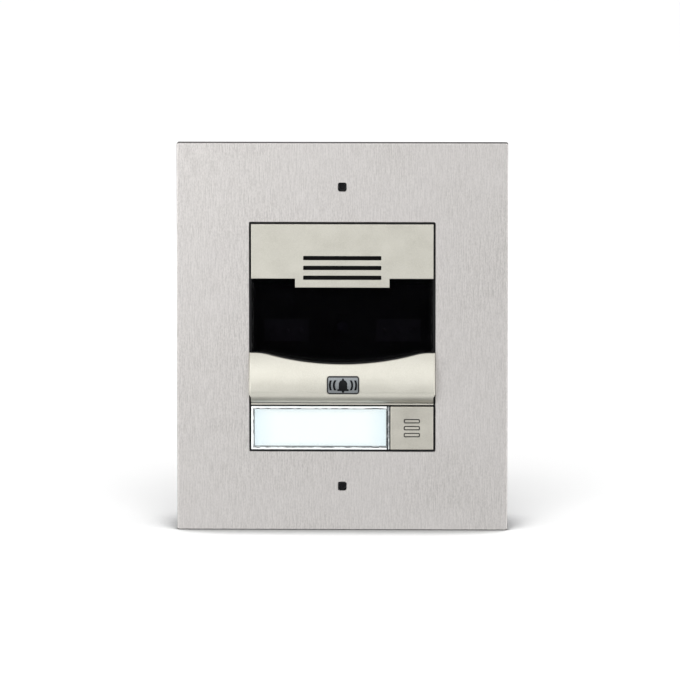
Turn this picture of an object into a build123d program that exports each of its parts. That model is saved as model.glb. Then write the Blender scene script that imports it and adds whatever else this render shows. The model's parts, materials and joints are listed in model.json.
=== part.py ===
from build123d import *
import math
import os

# Flush-mounted door intercom: a brushed steel frame plate over an in-wall box, holding a
# one-button video unit. Millimetres. +X is right as seen from the street, +Y goes into the
# wall and +Z is up. The origin is the middle of the wall plane, which the plate rests on.

# ---- driving dimensions ----
PLATE_W, PLATE_H, PLATE_DEPTH = 130.0, 153.0, 5.0
SHEET = 1.5
PLATE_CORNER = 0.8
WINDOW_W, WINDOW_H, WINDOW_CORNER = 73.2, 90.6, 0.6
UNIT_GAP = 0.8
SCREW_PITCH = 118.2
KEY_HOLE, KEY_HOLE_CORNER = 3.4, 0.9

COVER_PROUD = 0.3
COVER_SHEET = 1.8
COVER_SKIRT = 1.5
SHOULDER_Z, TAB_Z, TAB_W = 23.0, 19.5, 37.1
SLOT_W, SLOT_H, SLOT_PITCH, SLOT_MID_Z = 30.7, 1.7, 3.87, 27.3

NOSE_RISE = 4.5
NOSE_TOP_Z, NOSE_PEAK_Z, NOSE_BOTTOM_Z = -4.5, -21.0, -26.8
NOSE_UPPER_R, NOSE_LOWER_R = 32.5, 5.3
NOSE_CURL = 0.996
NOSE_WALL = 1.8
NOSE_FLARE, FLARE_FOOT_Z, FLARE_TAPER = 0.75, -22.2, 1.3
NOSE_RIM_R = 0.6
SMILE_END_Z, SMILE_MID_Z, SMILE_R, SMILE_BLEND = -6.1, -10.4, 118.0, 20.0
LIP_W, LIP_H, LIP_Z, LIP_BACK = 64.6, 12.0, -8.0, 4.0

ROW_TOP_Z = -27.4
BUTTON_W = 16.85
BUTTON_PROUD = 0.2
ROW_GAP = 0.4
BAR_W, BAR_H, BAR_PITCH = 6.4, 1.75, 2.75
BAR_GROOVE, BAR_GROOVE_DEPTH, BAR_SINK = 0.42, 0.6, 0.08
BADGE_W, BADGE_H, BADGE_CORNER = 12.7, 7.05, 1.2
BADGE_X, BADGE_Z = 0.4, -18.5

GLASS_TILT = 3.0
GLASS_THICK = 2.0
GLASS_PIVOT_Z = 23.5
CHEEK = 0.8
CAMERA_Z = 3.0
INFRARED_X, INFRARED_Z = 22.0, 1.8

FLANGE_W, FLANGE_H = 94.0, 98.0
TUB_W, TUB_H, TUB_WALL = 76.0, 94.0, 2.0
CHASSIS_SHEET = 2.0
JOINT_Y = 6.0
BOARD_Y, BOARD_THICK = 10.0, 1.6
DEEP_Y, SHALLOW_Y, STEP_Z = 28.0, 14.0, -22.0

BOX_W, BOX_H, BOX_DEPTH, BOX_WALL = 106.0, 129.0, 44.0, 2.0
BOX_RIM = 1.0
FIX_X, FIX_Z, FIX_HOLE_R = 36.0, 45.0, 2.25
ENTRY_R, CABLE_R = 10.0, 4.5

# ---- worked-out places ----
PLATE_FACE = -PLATE_DEPTH
PLATE_BACK = PLATE_FACE + SHEET
FACE = PLATE_FACE - COVER_PROUD
COVER_BACK = FACE + COVER_SHEET
SEAL_THICK = 0.8
CHASSIS_FACE = PLATE_BACK + SEAL_THICK
CHASSIS_BACK = CHASSIS_FACE + CHASSIS_SHEET
SEAT = CHASSIS_FACE - 0.05
UNIT_W = WINDOW_W - 2 * UNIT_GAP
UNIT_H = WINDOW_H - 2 * UNIT_GAP
UNIT_TOP, UNIT_SIDE = UNIT_H / 2, UNIT_W / 2
ROW_H = ROW_TOP_Z + UNIT_TOP
ROW_Z = ROW_TOP_Z - ROW_H / 2
BUTTON_X = UNIT_SIDE - BUTTON_W / 2
TAG_W = UNIT_W - BUTTON_W - ROW_GAP
TAG_X = -UNIT_SIDE + TAG_W / 2
SMILE_CENTRE_Z = SMILE_MID_Z + SMILE_R
UPPER_AXIS_Y = FACE - NOSE_RISE + NOSE_UPPER_R
LOWER_AXIS_Y = FACE - NOSE_RISE + NOSE_LOWER_R
BOARD_BACK = BOARD_Y + BOARD_THICK
BOX_BACK = BOX_DEPTH - BOX_WALL

STUDS = [(x, z) for x in (-43.0, 43.0) for z in (-34.0, 34.0)]
HOUSING_BOLTS = [(x, z) for x in (-33.2, 33.2) for z in (-42.4, 42.4)]
BOARD_BOLTS = [(x, z) for x in (-33.0, 33.0) for z in (-16.5, 34.0)]
COVER_BOLTS = [(x, z) for x, z in ((-28.5, 38.0), (28.5, 38.0), (-30.0, 28.5), (30.0, 28.5))]
NOSE_BOLTS = [(-24.0, -18.5), (24.0, -18.5)]
FRONT_BOARD_BOLTS = [(18.6, -31.0), (18.6, -41.0)]
KEY_SCREWS = [(0.0, -SCREW_PITCH / 2), (0.0, SCREW_PITCH / 2)]
TAMPER_X, TAMPER_Z = 25.0, 30.0
MIC_X, MIC_Z = -10.0, -21.5


# ---- helpers ----
def prism(outline, front, back):
    """An outline drawn in X and Z, extruded from the depth back to the depth front."""
    plane = Plane((0, back, 0), x_dir=(1, 0, 0), z_dir=(0, -1, 0))
    return extrude(plane * outline, back - front)


def outline(w, h, x=0.0, z=0.0, r=0.0):
    """A rectangle in X and Z with optional corner radius."""
    return Pos(x, z) * (RectangleRounded(w, h, r) if r else Rectangle(w, h))


def slab(w, h, front, back, x=0.0, z=0.0, r=0.0):
    """A flat block of width w and height h between two depths."""
    return prism(outline(w, h, x, z, r), front, back)


def span(x0, x1, front, back, z0, z1):
    """A block given by its limits."""
    return slab(x1 - x0, z1 - z0, front, back, (x0 + x1) / 2, (z0 + z1) / 2)


def rod(x, z, r, front, back):
    """A cylinder along Y."""
    return prism(Pos(x, z) * Circle(r), front, back)


def tube(x, z, r_out, r_in, front, back):
    """A ring along Y."""
    return prism(Pos(x, z) * (Circle(r_out) - Circle(r_in)), front, back)


def ring(w, h, band, front, back, r=0.0, z=0.0):
    """A rectangular frame with walls of width band."""
    inner_r = max(r - band, 0.0)
    hole = slab(w - 2 * band, h - 2 * band, front, back, 0, z, inner_r)
    return slab(w, h, front, back, 0, z, r) - hole


def upright(x, y, r, z0, z1):
    """A cylinder along Z."""
    return extrude(Pos(x, y, z0) * Circle(r), z1 - z0)


def along_x(profile, half_width):
    """A profile drawn in Y and Z, extruded over the width."""
    return extrude(Plane.YZ.offset(-half_width) * profile, 2 * half_width)


def front_edges(shape):
    """The edges that lie on the shape's front face."""
    return shape.edges().group_by(Axis.Y)[0]


def racetrack(w, h, front, back, z):
    """A stadium-shaped block."""
    return prism(Pos(0, z) * SlotOverall(w, h), front, back)


def glass_face(z):
    """Depth of the tilted window's front face at a height."""
    return COVER_BACK + 0.1 + (GLASS_PIVOT_Z - z) * math.tan(math.radians(GLASS_TILT))


def group(pieces):
    """Separate solids that share one node."""
    return Compound(children=[s for p in pieces for s in p.solids()])


def cap_screw(x, z, head_front, r, length, head_r, head_len, socket_r):
    """A screw whose head faces the front, with a six-sided socket."""
    head = rod(x, z, head_r, head_front, head_front + head_len)
    shank = rod(x, z, r, head_front + head_len, head_front + head_len + length)
    hexagon = Pos(x, z) * RegularPolygon(socket_r, 6)
    return head + shank - prism(hexagon, head_front, head_front + 0.7 * head_len)


def rear_screw(x, z, head_back, r, length, head_r, head_len):
    """A screw driven from behind: its cross-slotted head is at the depth head_back."""
    head = rod(x, z, head_r, head_back - head_len, head_back)
    shank = rod(x, z, r, head_back - head_len - length, head_back - head_len)
    slot_len, slot_wide = 1.3 * head_r, 0.35 * head_r
    cross = [slab(slot_len, slot_wide, head_back - 0.5 * head_len, head_back, x, z)]
    cross.append(slab(slot_wide, slot_len, head_back - 0.5 * head_len, head_back, x, z))
    return head + shank - cross


# ---- frame plate and in-wall box ----
def front_plate():
    plate = slab(PLATE_W, PLATE_H, PLATE_FACE, 0, r=PLATE_CORNER)
    plate = fillet(front_edges(plate), 0.5)
    plate -= slab(PLATE_W - 2 * SHEET, PLATE_H - 2 * SHEET, PLATE_BACK, 0, r=0.3)
    plate -= slab(WINDOW_W, WINDOW_H, PLATE_FACE, 0, r=WINDOW_CORNER)
    for x, z in KEY_SCREWS:
        plate -= slab(KEY_HOLE, KEY_HOLE, PLATE_FACE, 0, x, z, KEY_HOLE_CORNER)
    inner = front_edges(plate).filter_by(lambda e: abs(e.center().X) < 60 and abs(e.center().Z) < 70)
    return chamfer(inner, 0.12)


BRIDGE_W, BRIDGE_H, BRIDGE_SHEET = 16.0, 10.0, 1.0
BRIDGE_BACK = -0.1
HEAD_R, HEAD_LEN = 3.0, 2.0
KEY_SCREW_R, KEY_SCREW_LEN = 1.75, 17.0


def screw_bridge(x, z):
    """A small channel welded behind the plate that keeps the fixing screw captive."""
    channel = slab(BRIDGE_W, BRIDGE_H, PLATE_BACK, BRIDGE_BACK, x, z)
    channel -= slab(BRIDGE_W - 2, BRIDGE_H, PLATE_BACK, BRIDGE_BACK - BRIDGE_SHEET, x, z)
    return channel - rod(x, z, KEY_SCREW_R + 0.15, PLATE_BACK, 0)


def key_screw(x, z):
    front = BRIDGE_BACK - BRIDGE_SHEET - 0.1 - HEAD_LEN
    return cap_screw(x, z, front, KEY_SCREW_R, KEY_SCREW_LEN, HEAD_R, HEAD_LEN, 1.45)


STUD_R, STUD_END = 1.5, 3.6
WASHER_R, WASHER_LEN = 3.4, 0.5
NUT_R, NUT_LEN = 3.1, 2.4


def stud(x, z):
    return rod(x, z, STUD_R, PLATE_BACK, STUD_END)


def washer(x, z):
    return tube(x, z, WASHER_R, STUD_R + 0.1, CHASSIS_BACK, CHASSIS_BACK + WASHER_LEN)


def nut(x, z):
    start = CHASSIS_BACK + WASHER_LEN
    body = prism(Pos(x, z) * RegularPolygon(NUT_R, 6), start, start + NUT_LEN)
    return body - rod(x, z, STUD_R + 0.02, start, start + NUT_LEN)


GASKET_W, GASKET_H, GASKET_BAND = 126.0, 149.0, 8.0


def wall_gasket():
    return ring(GASKET_W, GASKET_H, GASKET_BAND, PLATE_BACK, 0, 1.0)


def module_seal():
    return ring(80, 98, 2.8, PLATE_BACK, CHASSIS_FACE, 2.0)


POST_R = 3.6
INSERT_R, INSERT_LEN = 2.6, 8.0
TAMPER_POST_R, TAMPER_END = 3.0, DEEP_Y + 2.5
RIB_W, RIB_END = 2.0, BOX_DEPTH - 4.0
GROOVE = 0.8
ENTRY_X, ENTRY_Y = -23.0, 24.0
BACK_KNOCKOUTS = [(x, z) for x in (-18.0, 18.0) for z in (-20.0, 20.0)]


def box_ribs():
    """Ribs round the outside of the in-wall box that key it into the plaster."""
    half_w, half_h = BOX_W / 2 + BOX_RIM, BOX_H / 2 + BOX_RIM
    ribs = [slab(RIB_W, 2 * half_h, 1.2, RIB_END, x) for x in (-34.0, -12.0, 12.0, 34.0)]
    ribs += [slab(2 * half_w, RIB_W, 1.2, RIB_END, 0, z) for z in (-42.0, -14.0, 14.0, 42.0)]
    return ribs


def flush_box():
    box = slab(BOX_W, BOX_H, 0, BOX_DEPTH, r=4)
    box = fillet(box.faces().sort_by(Axis.Y)[-1].edges(), 1.2)
    box += slab(BOX_W + 2 * BOX_RIM, BOX_H + 2 * BOX_RIM, 0, 1.2, r=5)
    box += box_ribs()
    box -= slab(BOX_W - 2 * BOX_WALL, BOX_H - 2 * BOX_WALL, 0, BOX_BACK, r=2)
    inside = slab(BOX_W - BOX_WALL, BOX_H - BOX_WALL, 0, BOX_DEPTH, r=3)
    for x, z in KEY_SCREWS:
        web = slab(3, 3.6, 0, BOX_BACK, x, z * 1.03)
        box += (rod(x, z, POST_R, 0, BOX_BACK) + web) & inside
        box -= rod(x, z, INSERT_R, 0, INSERT_LEN)
        box -= rod(x, z, KEY_SCREW_R + 0.3, INSERT_LEN, 20)
    box += rod(TAMPER_X, TAMPER_Z, TAMPER_POST_R, TAMPER_END, BOX_BACK)
    for x in (-FIX_X, FIX_X):
        for z in (-FIX_Z, FIX_Z):
            box += tube(x, z, 5.0, FIX_HOLE_R, BOX_BACK - 1.2, BOX_BACK)
            box -= rod(x, z, FIX_HOLE_R, BOX_BACK - 2, BOX_DEPTH)
            box -= tube(x, z, 5.8, 5.0, BOX_DEPTH - 0.5, BOX_DEPTH)
    for x, z in BACK_KNOCKOUTS:
        box -= tube(x, z, ENTRY_R, ENTRY_R - GROOVE, BOX_DEPTH - GROOVE, BOX_DEPTH)
    wall_out = BOX_H / 2
    for z0, z1 in ((wall_out - 6, wall_out + 6), (-wall_out - 6, -wall_out + 6)):
        box -= upright(ENTRY_X, ENTRY_Y, ENTRY_R, z0, z1)
    for z0, z1 in ((wall_out - GROOVE, wall_out + 6), (-wall_out - 6, -wall_out + GROOVE)):
        groove = upright(-ENTRY_X, ENTRY_Y, ENTRY_R, z0, z1)
        box -= groove - upright(-ENTRY_X, ENTRY_Y, ENTRY_R - GROOVE, z0, z1)
    return box


GROMMET_LIP = 1.6


def cable_grommet(side):
    """A rubber bush in the box's wall that the cable passes through."""
    wall_in, wall_out = BOX_H / 2 - BOX_WALL, BOX_H / 2
    rib_out = wall_out + BOX_RIM
    neck = upright(ENTRY_X, ENTRY_Y, ENTRY_R - 0.05, wall_in, rib_out)
    lip_in = upright(ENTRY_X, ENTRY_Y, ENTRY_R + 1.8, wall_in - GROMMET_LIP, wall_in)
    lip_out = upright(ENTRY_X, ENTRY_Y, ENTRY_R + 1.8, rib_out, rib_out + GROMMET_LIP)
    bush = neck + lip_in + lip_out
    bush -= upright(ENTRY_X, ENTRY_Y, CABLE_R, wall_in - 9, rib_out + 9)
    return bush if side > 0 else mirror(bush, Plane.XY)


def box_insert(x, z):
    """A brass thread insert pressed into the box's post."""
    return tube(x, z, INSERT_R - 0.02, KEY_SCREW_R + 0.02, 0.1, INSERT_LEN)


# ---- metal covers on the front of the unit ----
def speaker_cover():
    shape = outline(UNIT_W, UNIT_TOP - SHOULDER_Z, 0, (UNIT_TOP + SHOULDER_Z) / 2)
    shape += outline(TAB_W, UNIT_TOP - TAB_Z, 0, (UNIT_TOP + TAB_Z) / 2)
    cover = fillet(front_edges(prism(shape, FACE, COVER_BACK)), 0.25)
    skirt = slab(UNIT_W, UNIT_TOP - SHOULDER_Z, COVER_BACK, SEAT, 0, (UNIT_TOP + SHOULDER_Z) / 2)
    hollow_top = UNIT_TOP - COVER_SKIRT
    skirt -= slab(UNIT_W - 2 * COVER_SKIRT, hollow_top, COVER_BACK, SEAT, 0, hollow_top / 2)
    cover += skirt
    for x, z in COVER_BOLTS:
        cover += rod(x, z, 2.5, COVER_BACK, SEAT)
        cover -= rod(x, z, 1.05, FACE + 0.6, SEAT)
    for i in (-1, 0, 1):
        z = SLOT_MID_Z + i * SLOT_PITCH
        cover -= slab(SLOT_W, SLOT_H, FACE, COVER_BACK, 0, z, 0.3)
    return cover


def nose_depth(axis_y, radius, z):
    """Depth of a bulge arc at a height."""
    return axis_y - math.sqrt(radius**2 - (z - NOSE_PEAK_Z) ** 2)


def bulge(inset, bottom_z):
    """The side view of the nose, shrunk by an inset: a long upper arc, a tight lower one that
    curls back to the face, and a narrow flush rim below it."""
    upper, lower = NOSE_UPPER_R - inset, NOSE_LOWER_R - inset
    foot_z = NOSE_PEAK_Z - NOSE_CURL * lower
    upper_mid, lower_mid = (NOSE_TOP_Z + NOSE_PEAK_Z) / 2, NOSE_PEAK_Z - 0.7 * lower
    top = (nose_depth(UPPER_AXIS_Y, upper, NOSE_TOP_Z), NOSE_TOP_Z)
    peak = (nose_depth(LOWER_AXIS_Y, lower, NOSE_PEAK_Z), NOSE_PEAK_Z)
    foot = (nose_depth(LOWER_AXIS_Y, lower, foot_z), foot_z)
    line = Curve() + [
        ThreePointArc(top, (nose_depth(UPPER_AXIS_Y, upper, upper_mid), upper_mid), peak),
        ThreePointArc(peak, (nose_depth(LOWER_AXIS_Y, lower, lower_mid), lower_mid), foot),
        Polyline(foot, (foot[0], bottom_z), (SEAT, bottom_z), (SEAT, NOSE_TOP_Z), top),
    ]
    return make_face(line)


def under_skin(inset):
    """Everything behind the nose's surface moved inwards by an inset."""
    return along_x(bulge(inset, NOSE_BOTTOM_Z), UNIT_SIDE)


def flare_outline():
    """The nose's front view where its ends overhang the gap beside it."""
    wide = UNIT_SIDE + NOSE_FLARE
    end_z = FLARE_FOOT_Z - FLARE_TAPER
    corners = [(wide, NOSE_TOP_Z), (wide, FLARE_FOOT_Z), (UNIT_SIDE, end_z)]
    corners += [(-x, z) for x, z in reversed(corners)]
    return make_face(Polyline(*corners, corners[0]))


def smile(extra=0.0):
    """The cutter whose lower edge is the line between window and nose: a wide arc that runs
    out level near its ends."""
    level = SMILE_END_Z - extra
    cutter = Pos(0, SMILE_CENTRE_Z) * Circle(SMILE_R + extra)
    cutter += outline(2 * FLANGE_W, 60, 0, level + 30)
    corners = cutter.vertices().filter_by(lambda v: abs(v.Y - level) < 0.01 and abs(v.X) < UNIT_SIDE)
    return prism(fillet(corners, SMILE_BLEND), -30, 30)


def behind_glass(clearance):
    """Everything behind the window's front face, less a clearance in front of it."""
    slope = math.tan(math.radians(GLASS_TILT))
    z_hi, z_lo = 30.0, -30.0
    deep = 40.0
    hi = (glass_face(z_hi) - clearance, z_hi)
    lo = (glass_face(z_lo) - clearance, z_lo)
    points = [hi, lo, (deep, z_lo), (deep + slope, z_hi), hi]
    return along_x(make_face(Polyline(*points)), 60)


def badge_block(clearance):
    w, h = BADGE_W + 2 * clearance, BADGE_H + 2 * clearance
    return slab(w, h, -14, 0, BADGE_X, BADGE_Z, BADGE_CORNER)


BADGE_RAISE, BADGE_SINK, EMBLEM_RAISE = 0.25, 0.85, 0.25
NOSE_POST_R, NOSE_PILOT_R = 2.5, 1.05
HOLLOW_BOTTOM_Z = -25.0


def nose_cover():
    side_view = bulge(0, NOSE_BOTTOM_Z)
    nose = along_x(side_view, UNIT_SIDE)
    flare = along_x(side_view, UNIT_SIDE + NOSE_FLARE)
    nose += flare & prism(flare_outline(), -20, FACE)
    nose -= smile()
    rims = nose.edges().filter_by(lambda e: e.center().Y < FACE - 0.5 and e.length > 8)
    nose = fillet(rims.filter_by(GeomType.LINE, reverse=True), NOSE_RIM_R)
    hollow = along_x(bulge(NOSE_WALL, HOLLOW_BOTTOM_Z), UNIT_SIDE - NOSE_WALL)
    nose -= hollow - smile(NOSE_WALL)
    lip = slab(LIP_W, LIP_H, SEAT, LIP_BACK, 0, LIP_Z) & (smile(NOSE_WALL) - smile())
    nose += lip - behind_glass(0.12)
    for x, z in NOSE_BOLTS:
        nose += rod(x, z, NOSE_POST_R, FACE - 3.0, SEAT)
        nose -= rod(x, z, NOSE_PILOT_R, FACE - 1.0, SEAT)
    nose -= badge_block(0.08) - under_skin(BADGE_SINK)
    return nose - span(MIC_X - 3, MIC_X + 3, SEAT - 1.6, SEAT - 0.7, NOSE_BOTTOM_Z, -24.9)


def badge():
    plate = badge_block(0) & under_skin(-BADGE_RAISE)
    return plate - under_skin(BADGE_SINK - 0.03)


def emblem():
    """A plain bell with two sound waves on each side, raised on the badge."""
    bell = Circle(1.65)
    bell += outline(3.3, 2.5, 0, -1.25)
    bell += outline(4.5, 0.75, 0, -2.3, 0.25)
    bell += Pos(0, -2.85) * Circle(0.5)
    bell += outline(0.7, 0.8, 0, 1.85, 0.25)
    shape = Pos(0, 0.45) * bell
    for r in (3.6, 5.15):
        shape += (Circle(r + 0.4) - Circle(r - 0.4)) & outline(12, 3.9)
    raised = prism(Pos(BADGE_X, BADGE_Z) * shape, -14, 0) & under_skin(-BADGE_RAISE - EMBLEM_RAISE)
    return group([raised - under_skin(-BADGE_RAISE)])


# ---- smoked window ----
WINDOW_TOP_Z = 24.2


def camera_window():
    outer_x = UNIT_SIDE - 0.1
    inner_x = 33.4
    depth = GLASS_THICK / math.cos(math.radians(GLASS_TILT))
    top_z, bottom_z = WINDOW_TOP_Z, -12.7
    corners = [(glass_face(top_z), top_z), (glass_face(bottom_z), bottom_z)]
    corners += [(glass_face(bottom_z) + depth, bottom_z), (glass_face(top_z) + depth, top_z)]
    panel = along_x(make_face(Polyline(*corners, corners[0])), inner_x)
    panel -= span(-18.5, 18.5, -20, 20, TAB_Z + 0.2, 30)
    cheek_top = SHOULDER_Z - 0.1
    for side in (-1, 1):
        x0, x1 = sorted((side * (outer_x - CHEEK), side * outer_x))
        f0, f1 = sorted((side * (inner_x - 0.8), side * outer_x))
        w0, w1 = sorted((side * (inner_x - 0.8), side * inner_x))
        cheek = span(x0, x1, FACE + 0.1, SEAT - 0.2, -9, cheek_top)
        cheek = fillet(front_edges(cheek), 0.2)
        flange = span(f0, f1, COVER_BACK + 0.1, SEAT - 0.2, -9, cheek_top)
        join = span(w0, w1, SEAT - 0.2, SEAT + 0.2, -9, cheek_top)
        wall = span(w0, w1, SEAT + 0.1, 3, bottom_z, top_z) - behind_glass(-0.5)
        panel += (cheek + flange + join) & smile(-0.15)
        panel += wall
    return panel


def window_gasket():
    """Two thin strips under the window's side flanges."""
    outer_x = UNIT_SIDE - 0.1
    strips = []
    for side in (-1, 1):
        x0, x1 = sorted((side * 33.9, side * outer_x))
        strips.append(span(x0, x1, SEAT - 0.2, CHASSIS_FACE, -9, SHOULDER_Z - 0.1) & smile(-0.15))
    return group(strips)


# ---- name tag ----
TAG_WALL, TAG_FRONT = 1.2, 1.1
TAG_BACK = CHASSIS_FACE - 0.3
CARD_THICK = 0.25
TAG_TAB_X = (TAG_X - 22.3, TAG_X + 22.3)


def tag_tab(x, side, grow=0.0):
    z = ROW_Z + side * (ROW_H / 2 - TAG_WALL / 2 - 0.1)
    return slab(3.0 + 2 * grow, 0.8 + 2 * grow, TAG_BACK - 0.2, CHASSIS_BACK - 0.2 + grow, x, z)


def name_tag_cover():
    shell = slab(TAG_W, ROW_H, FACE, TAG_BACK, TAG_X, ROW_Z, 0.3)
    shell = fillet(front_edges(shell), 0.25)
    inner_w, inner_h = TAG_W - 2 * TAG_WALL, ROW_H - 2 * TAG_WALL
    shell -= slab(inner_w, inner_h, FACE + TAG_FRONT, SEAT, TAG_X, ROW_Z)
    for x in TAG_TAB_X:
        shell += [tag_tab(x, 1), tag_tab(x, -1)]
    return shell


def name_card():
    front = FACE + TAG_FRONT + 0.05
    w, h = TAG_W - 2 * TAG_WALL - 0.3, ROW_H - 2 * TAG_WALL - 0.3
    return slab(w, h, front, front + CARD_THICK, TAG_X, ROW_Z)


GUIDE_FRONT = FACE + TAG_FRONT + 0.05 + CARD_THICK + 0.3
GUIDE_W, GUIDE_H = 50.2, 13.4
GUIDE_OPEN_W, GUIDE_OPEN_H = 51.0, 14.0


def tag_light_guide():
    w, h = TAG_W - 2 * TAG_WALL - 0.7, ROW_H - 2 * TAG_WALL - 0.7
    face = slab(w, h, GUIDE_FRONT, SEAT, TAG_X, ROW_Z)
    return face + slab(GUIDE_W, GUIDE_H, SEAT, CHASSIS_BACK, TAG_X, ROW_Z)


# ---- call button ----
CAP_BACK = FACE - BUTTON_PROUD + 1.8
STEM_R, STEM_BACK = 2.5, -1.5
PLUNGER_R, PLUNGER_BACK = 4.0, 0.5
PILL_R, PILL_LEN = 2.5, 0.4
KEYPAD_W, KEYPAD_H, WEB_R = 13.6, 13.6, 5.3


def call_button():
    cap = slab(BUTTON_W, ROW_H, FACE - BUTTON_PROUD, CAP_BACK, BUTTON_X, ROW_Z, 0.3)
    cap = fillet(front_edges(cap), 0.3)
    front = FACE - BUTTON_PROUD
    inner_w, inner_h = BAR_W - 2 * BAR_GROOVE, BAR_H - 2 * BAR_GROOVE
    for i in (-1, 0, 1):
        z = ROW_Z + i * BAR_PITCH
        cap -= slab(BAR_W, BAR_H, front, front + BAR_GROOVE_DEPTH, BUTTON_X, z, 0.6)
        cap += slab(inner_w, inner_h, front + BAR_SINK, front + BAR_GROOVE_DEPTH, BUTTON_X, z, 0.3)
    return cap + rod(BUTTON_X, ROW_Z, STEM_R, CAP_BACK, STEM_BACK)


def button_plunger():
    body = rod(BUTTON_X, ROW_Z, PLUNGER_R, CAP_BACK + 0.1, PLUNGER_BACK)
    return body - rod(BUTTON_X, ROW_Z, STEM_R, CAP_BACK, STEM_BACK)


def contact_pill():
    return rod(BUTTON_X, ROW_Z, PILL_R, PLUNGER_BACK, PLUNGER_BACK + PILL_LEN)


def keypad_web():
    """The thin silicone skirt that lets the plunger move and brings it back."""
    return tube(BUTTON_X, ROW_Z, WEB_R, PLUNGER_R, CHASSIS_BACK + 0.1, CHASSIS_BACK + 0.5)


def keypad_base():
    base = slab(KEYPAD_W, KEYPAD_H, CHASSIS_BACK, FRONT_BOARD_Y, BUTTON_X, ROW_Z, 1.0)
    base -= rod(BUTTON_X, ROW_Z, WEB_R, CHASSIS_BACK, FRONT_BOARD_Y)
    return base - rod(33.2, -42.4, 3.3, CHASSIS_BACK, 3)


# ---- plastic body of the unit ----
BRACKET_FRONT, BRACKET_SHEET = 3.7, 1.2
BRACKET_BOLTS = [(-14.0, -16.0), (14.0, -16.0)]
FRONT_BOARD_Y, FRONT_BOARD_THICK = 1.8, 1.0
SPEAKER_Z = 31.1


def front_chassis():
    body = slab(FLANGE_W, FLANGE_H, CHASSIS_FACE, CHASSIS_BACK, r=4)
    body += ring(TUB_W, TUB_H, TUB_WALL, CHASSIS_BACK, JOINT_Y, 3.0)
    body -= span(-33.8, 33.8, CHASSIS_FACE, CHASSIS_BACK, -13.0, 20.0)
    for x0, x1 in ((-33.8, -18.2), (18.2, 33.8)):
        body -= span(x0, x1, CHASSIS_FACE, CHASSIS_BACK, 19.9, WINDOW_TOP_Z + 0.3)
    body -= racetrack(31, 15, CHASSIS_FACE, CHASSIS_BACK, SPEAKER_Z)
    body -= slab(GUIDE_OPEN_W, GUIDE_OPEN_H, CHASSIS_FACE, CHASSIS_BACK, TAG_X, ROW_Z)
    for x in TAG_TAB_X:
        body -= [tag_tab(x, 1, 0.3), tag_tab(x, -1, 0.3)]
    body -= rod(BUTTON_X, ROW_Z, PLUNGER_R + 0.75, CHASSIS_FACE, CHASSIS_BACK)
    body -= rod(MIC_X, MIC_Z, 0.8, CHASSIS_FACE, CHASSIS_BACK)
    for x, z in STUDS:
        body -= rod(x, z, STUD_R + 0.2, CHASSIS_FACE, CHASSIS_BACK)
    for x, z in COVER_BOLTS + NOSE_BOLTS:
        body -= rod(x, z, 1.4, CHASSIS_FACE, CHASSIS_BACK)
    posts = [(p, 3.0, JOINT_Y, 1.1) for p in HOUSING_BOLTS]
    posts += [(p, 2.5, BOARD_Y, 0.95) for p in BOARD_BOLTS]
    posts += [(p, 1.5, FRONT_BOARD_Y, 0.75) for p in FRONT_BOARD_BOLTS]
    posts += [(p, 2.0, BRACKET_FRONT, 0.75) for p in BRACKET_BOLTS]
    for (x, z), r, back, pilot in posts:
        body += rod(x, z, r, CHASSIS_BACK, back)
        body -= rod(x, z, pilot, CHASSIS_BACK + 0.3, back)
    return body


def rear_housing():
    deep_h = TUB_H / 2 - STEP_Z
    deep_z = (TUB_H / 2 + STEP_Z) / 2
    body = slab(TUB_W, TUB_H, JOINT_Y, SHALLOW_Y, r=3)
    deep_part = slab(TUB_W, deep_h, SHALLOW_Y - 3, DEEP_Y, 0, deep_z, 3)
    body += fillet(deep_part.faces().sort_by(Axis.Y)[-1].edges(), 1.5)
    inner_w, inner_h = TUB_W - 2 * TUB_WALL, TUB_H - 2 * TUB_WALL
    body -= slab(inner_w, inner_h, JOINT_Y, SHALLOW_Y - TUB_WALL, r=1)
    body -= slab(inner_w, deep_h - 2 * TUB_WALL, JOINT_Y, DEEP_Y - TUB_WALL, 0, deep_z, 1)
    for x, z in HOUSING_BOLTS:
        back = DEEP_Y if z > 0 else SHALLOW_Y
        seat = 16.0 if z > 0 else SHALLOW_Y - 2.4
        body += rod(x, z, 3.0, JOINT_Y, back - 1.0)
        body -= rod(x, z, 1.4, JOINT_Y, back)
        body -= rod(x, z, 2.6, seat, back)
    body -= ring(74.6, 92.6, 0.6, JOINT_Y, JOINT_Y + 1.0, 2.3)
    body -= span(JACK_X0 - 0.15, JACK_X1 + 0.15, SHALLOW_Y, 25.3, STEP_Z, STEP_Z + TUB_WALL)
    body -= span(TERM_X0 - 0.15, TERM_X1 + 0.15, SHALLOW_Y, 22.0, STEP_Z, STEP_Z + TUB_WALL)
    body -= upright(RESET_X, RESET_Y, 1.3, STEP_Z, STEP_Z + TUB_WALL)
    return body - rod(TAMPER_X, TAMPER_Z, PLUNGER_STEM_R + 0.3, DEEP_Y - TUB_WALL, DEEP_Y)


def housing_seal():
    return ring(74.6, 92.6, 0.6, JOINT_Y, JOINT_Y + 1.0, 2.3)


# ---- circuit boards and what is on them ----
JACK_X0, JACK_X1 = -28.0, -12.0
TERM_X0, TERM_X1, POLES, POLE_PITCH = -8.2, 24.2, 8, 3.81
RESET_X, RESET_Y = 28.0, 17.0
PLUNGER_STEM_R = 1.5
MOUTH_Z = STEP_Z - 0.2
INNER_STEP_Z = STEP_Z + TUB_WALL + 0.1


def main_board():
    board = slab(70, 88, BOARD_Y, BOARD_BACK, r=2)
    for x, z in HOUSING_BOLTS:
        board -= rod(x, z, 3.5, BOARD_Y, BOARD_BACK)
    for x, z in BOARD_BOLTS:
        board -= rod(x, z, 1.15, BOARD_Y, BOARD_BACK)
    return board


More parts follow.
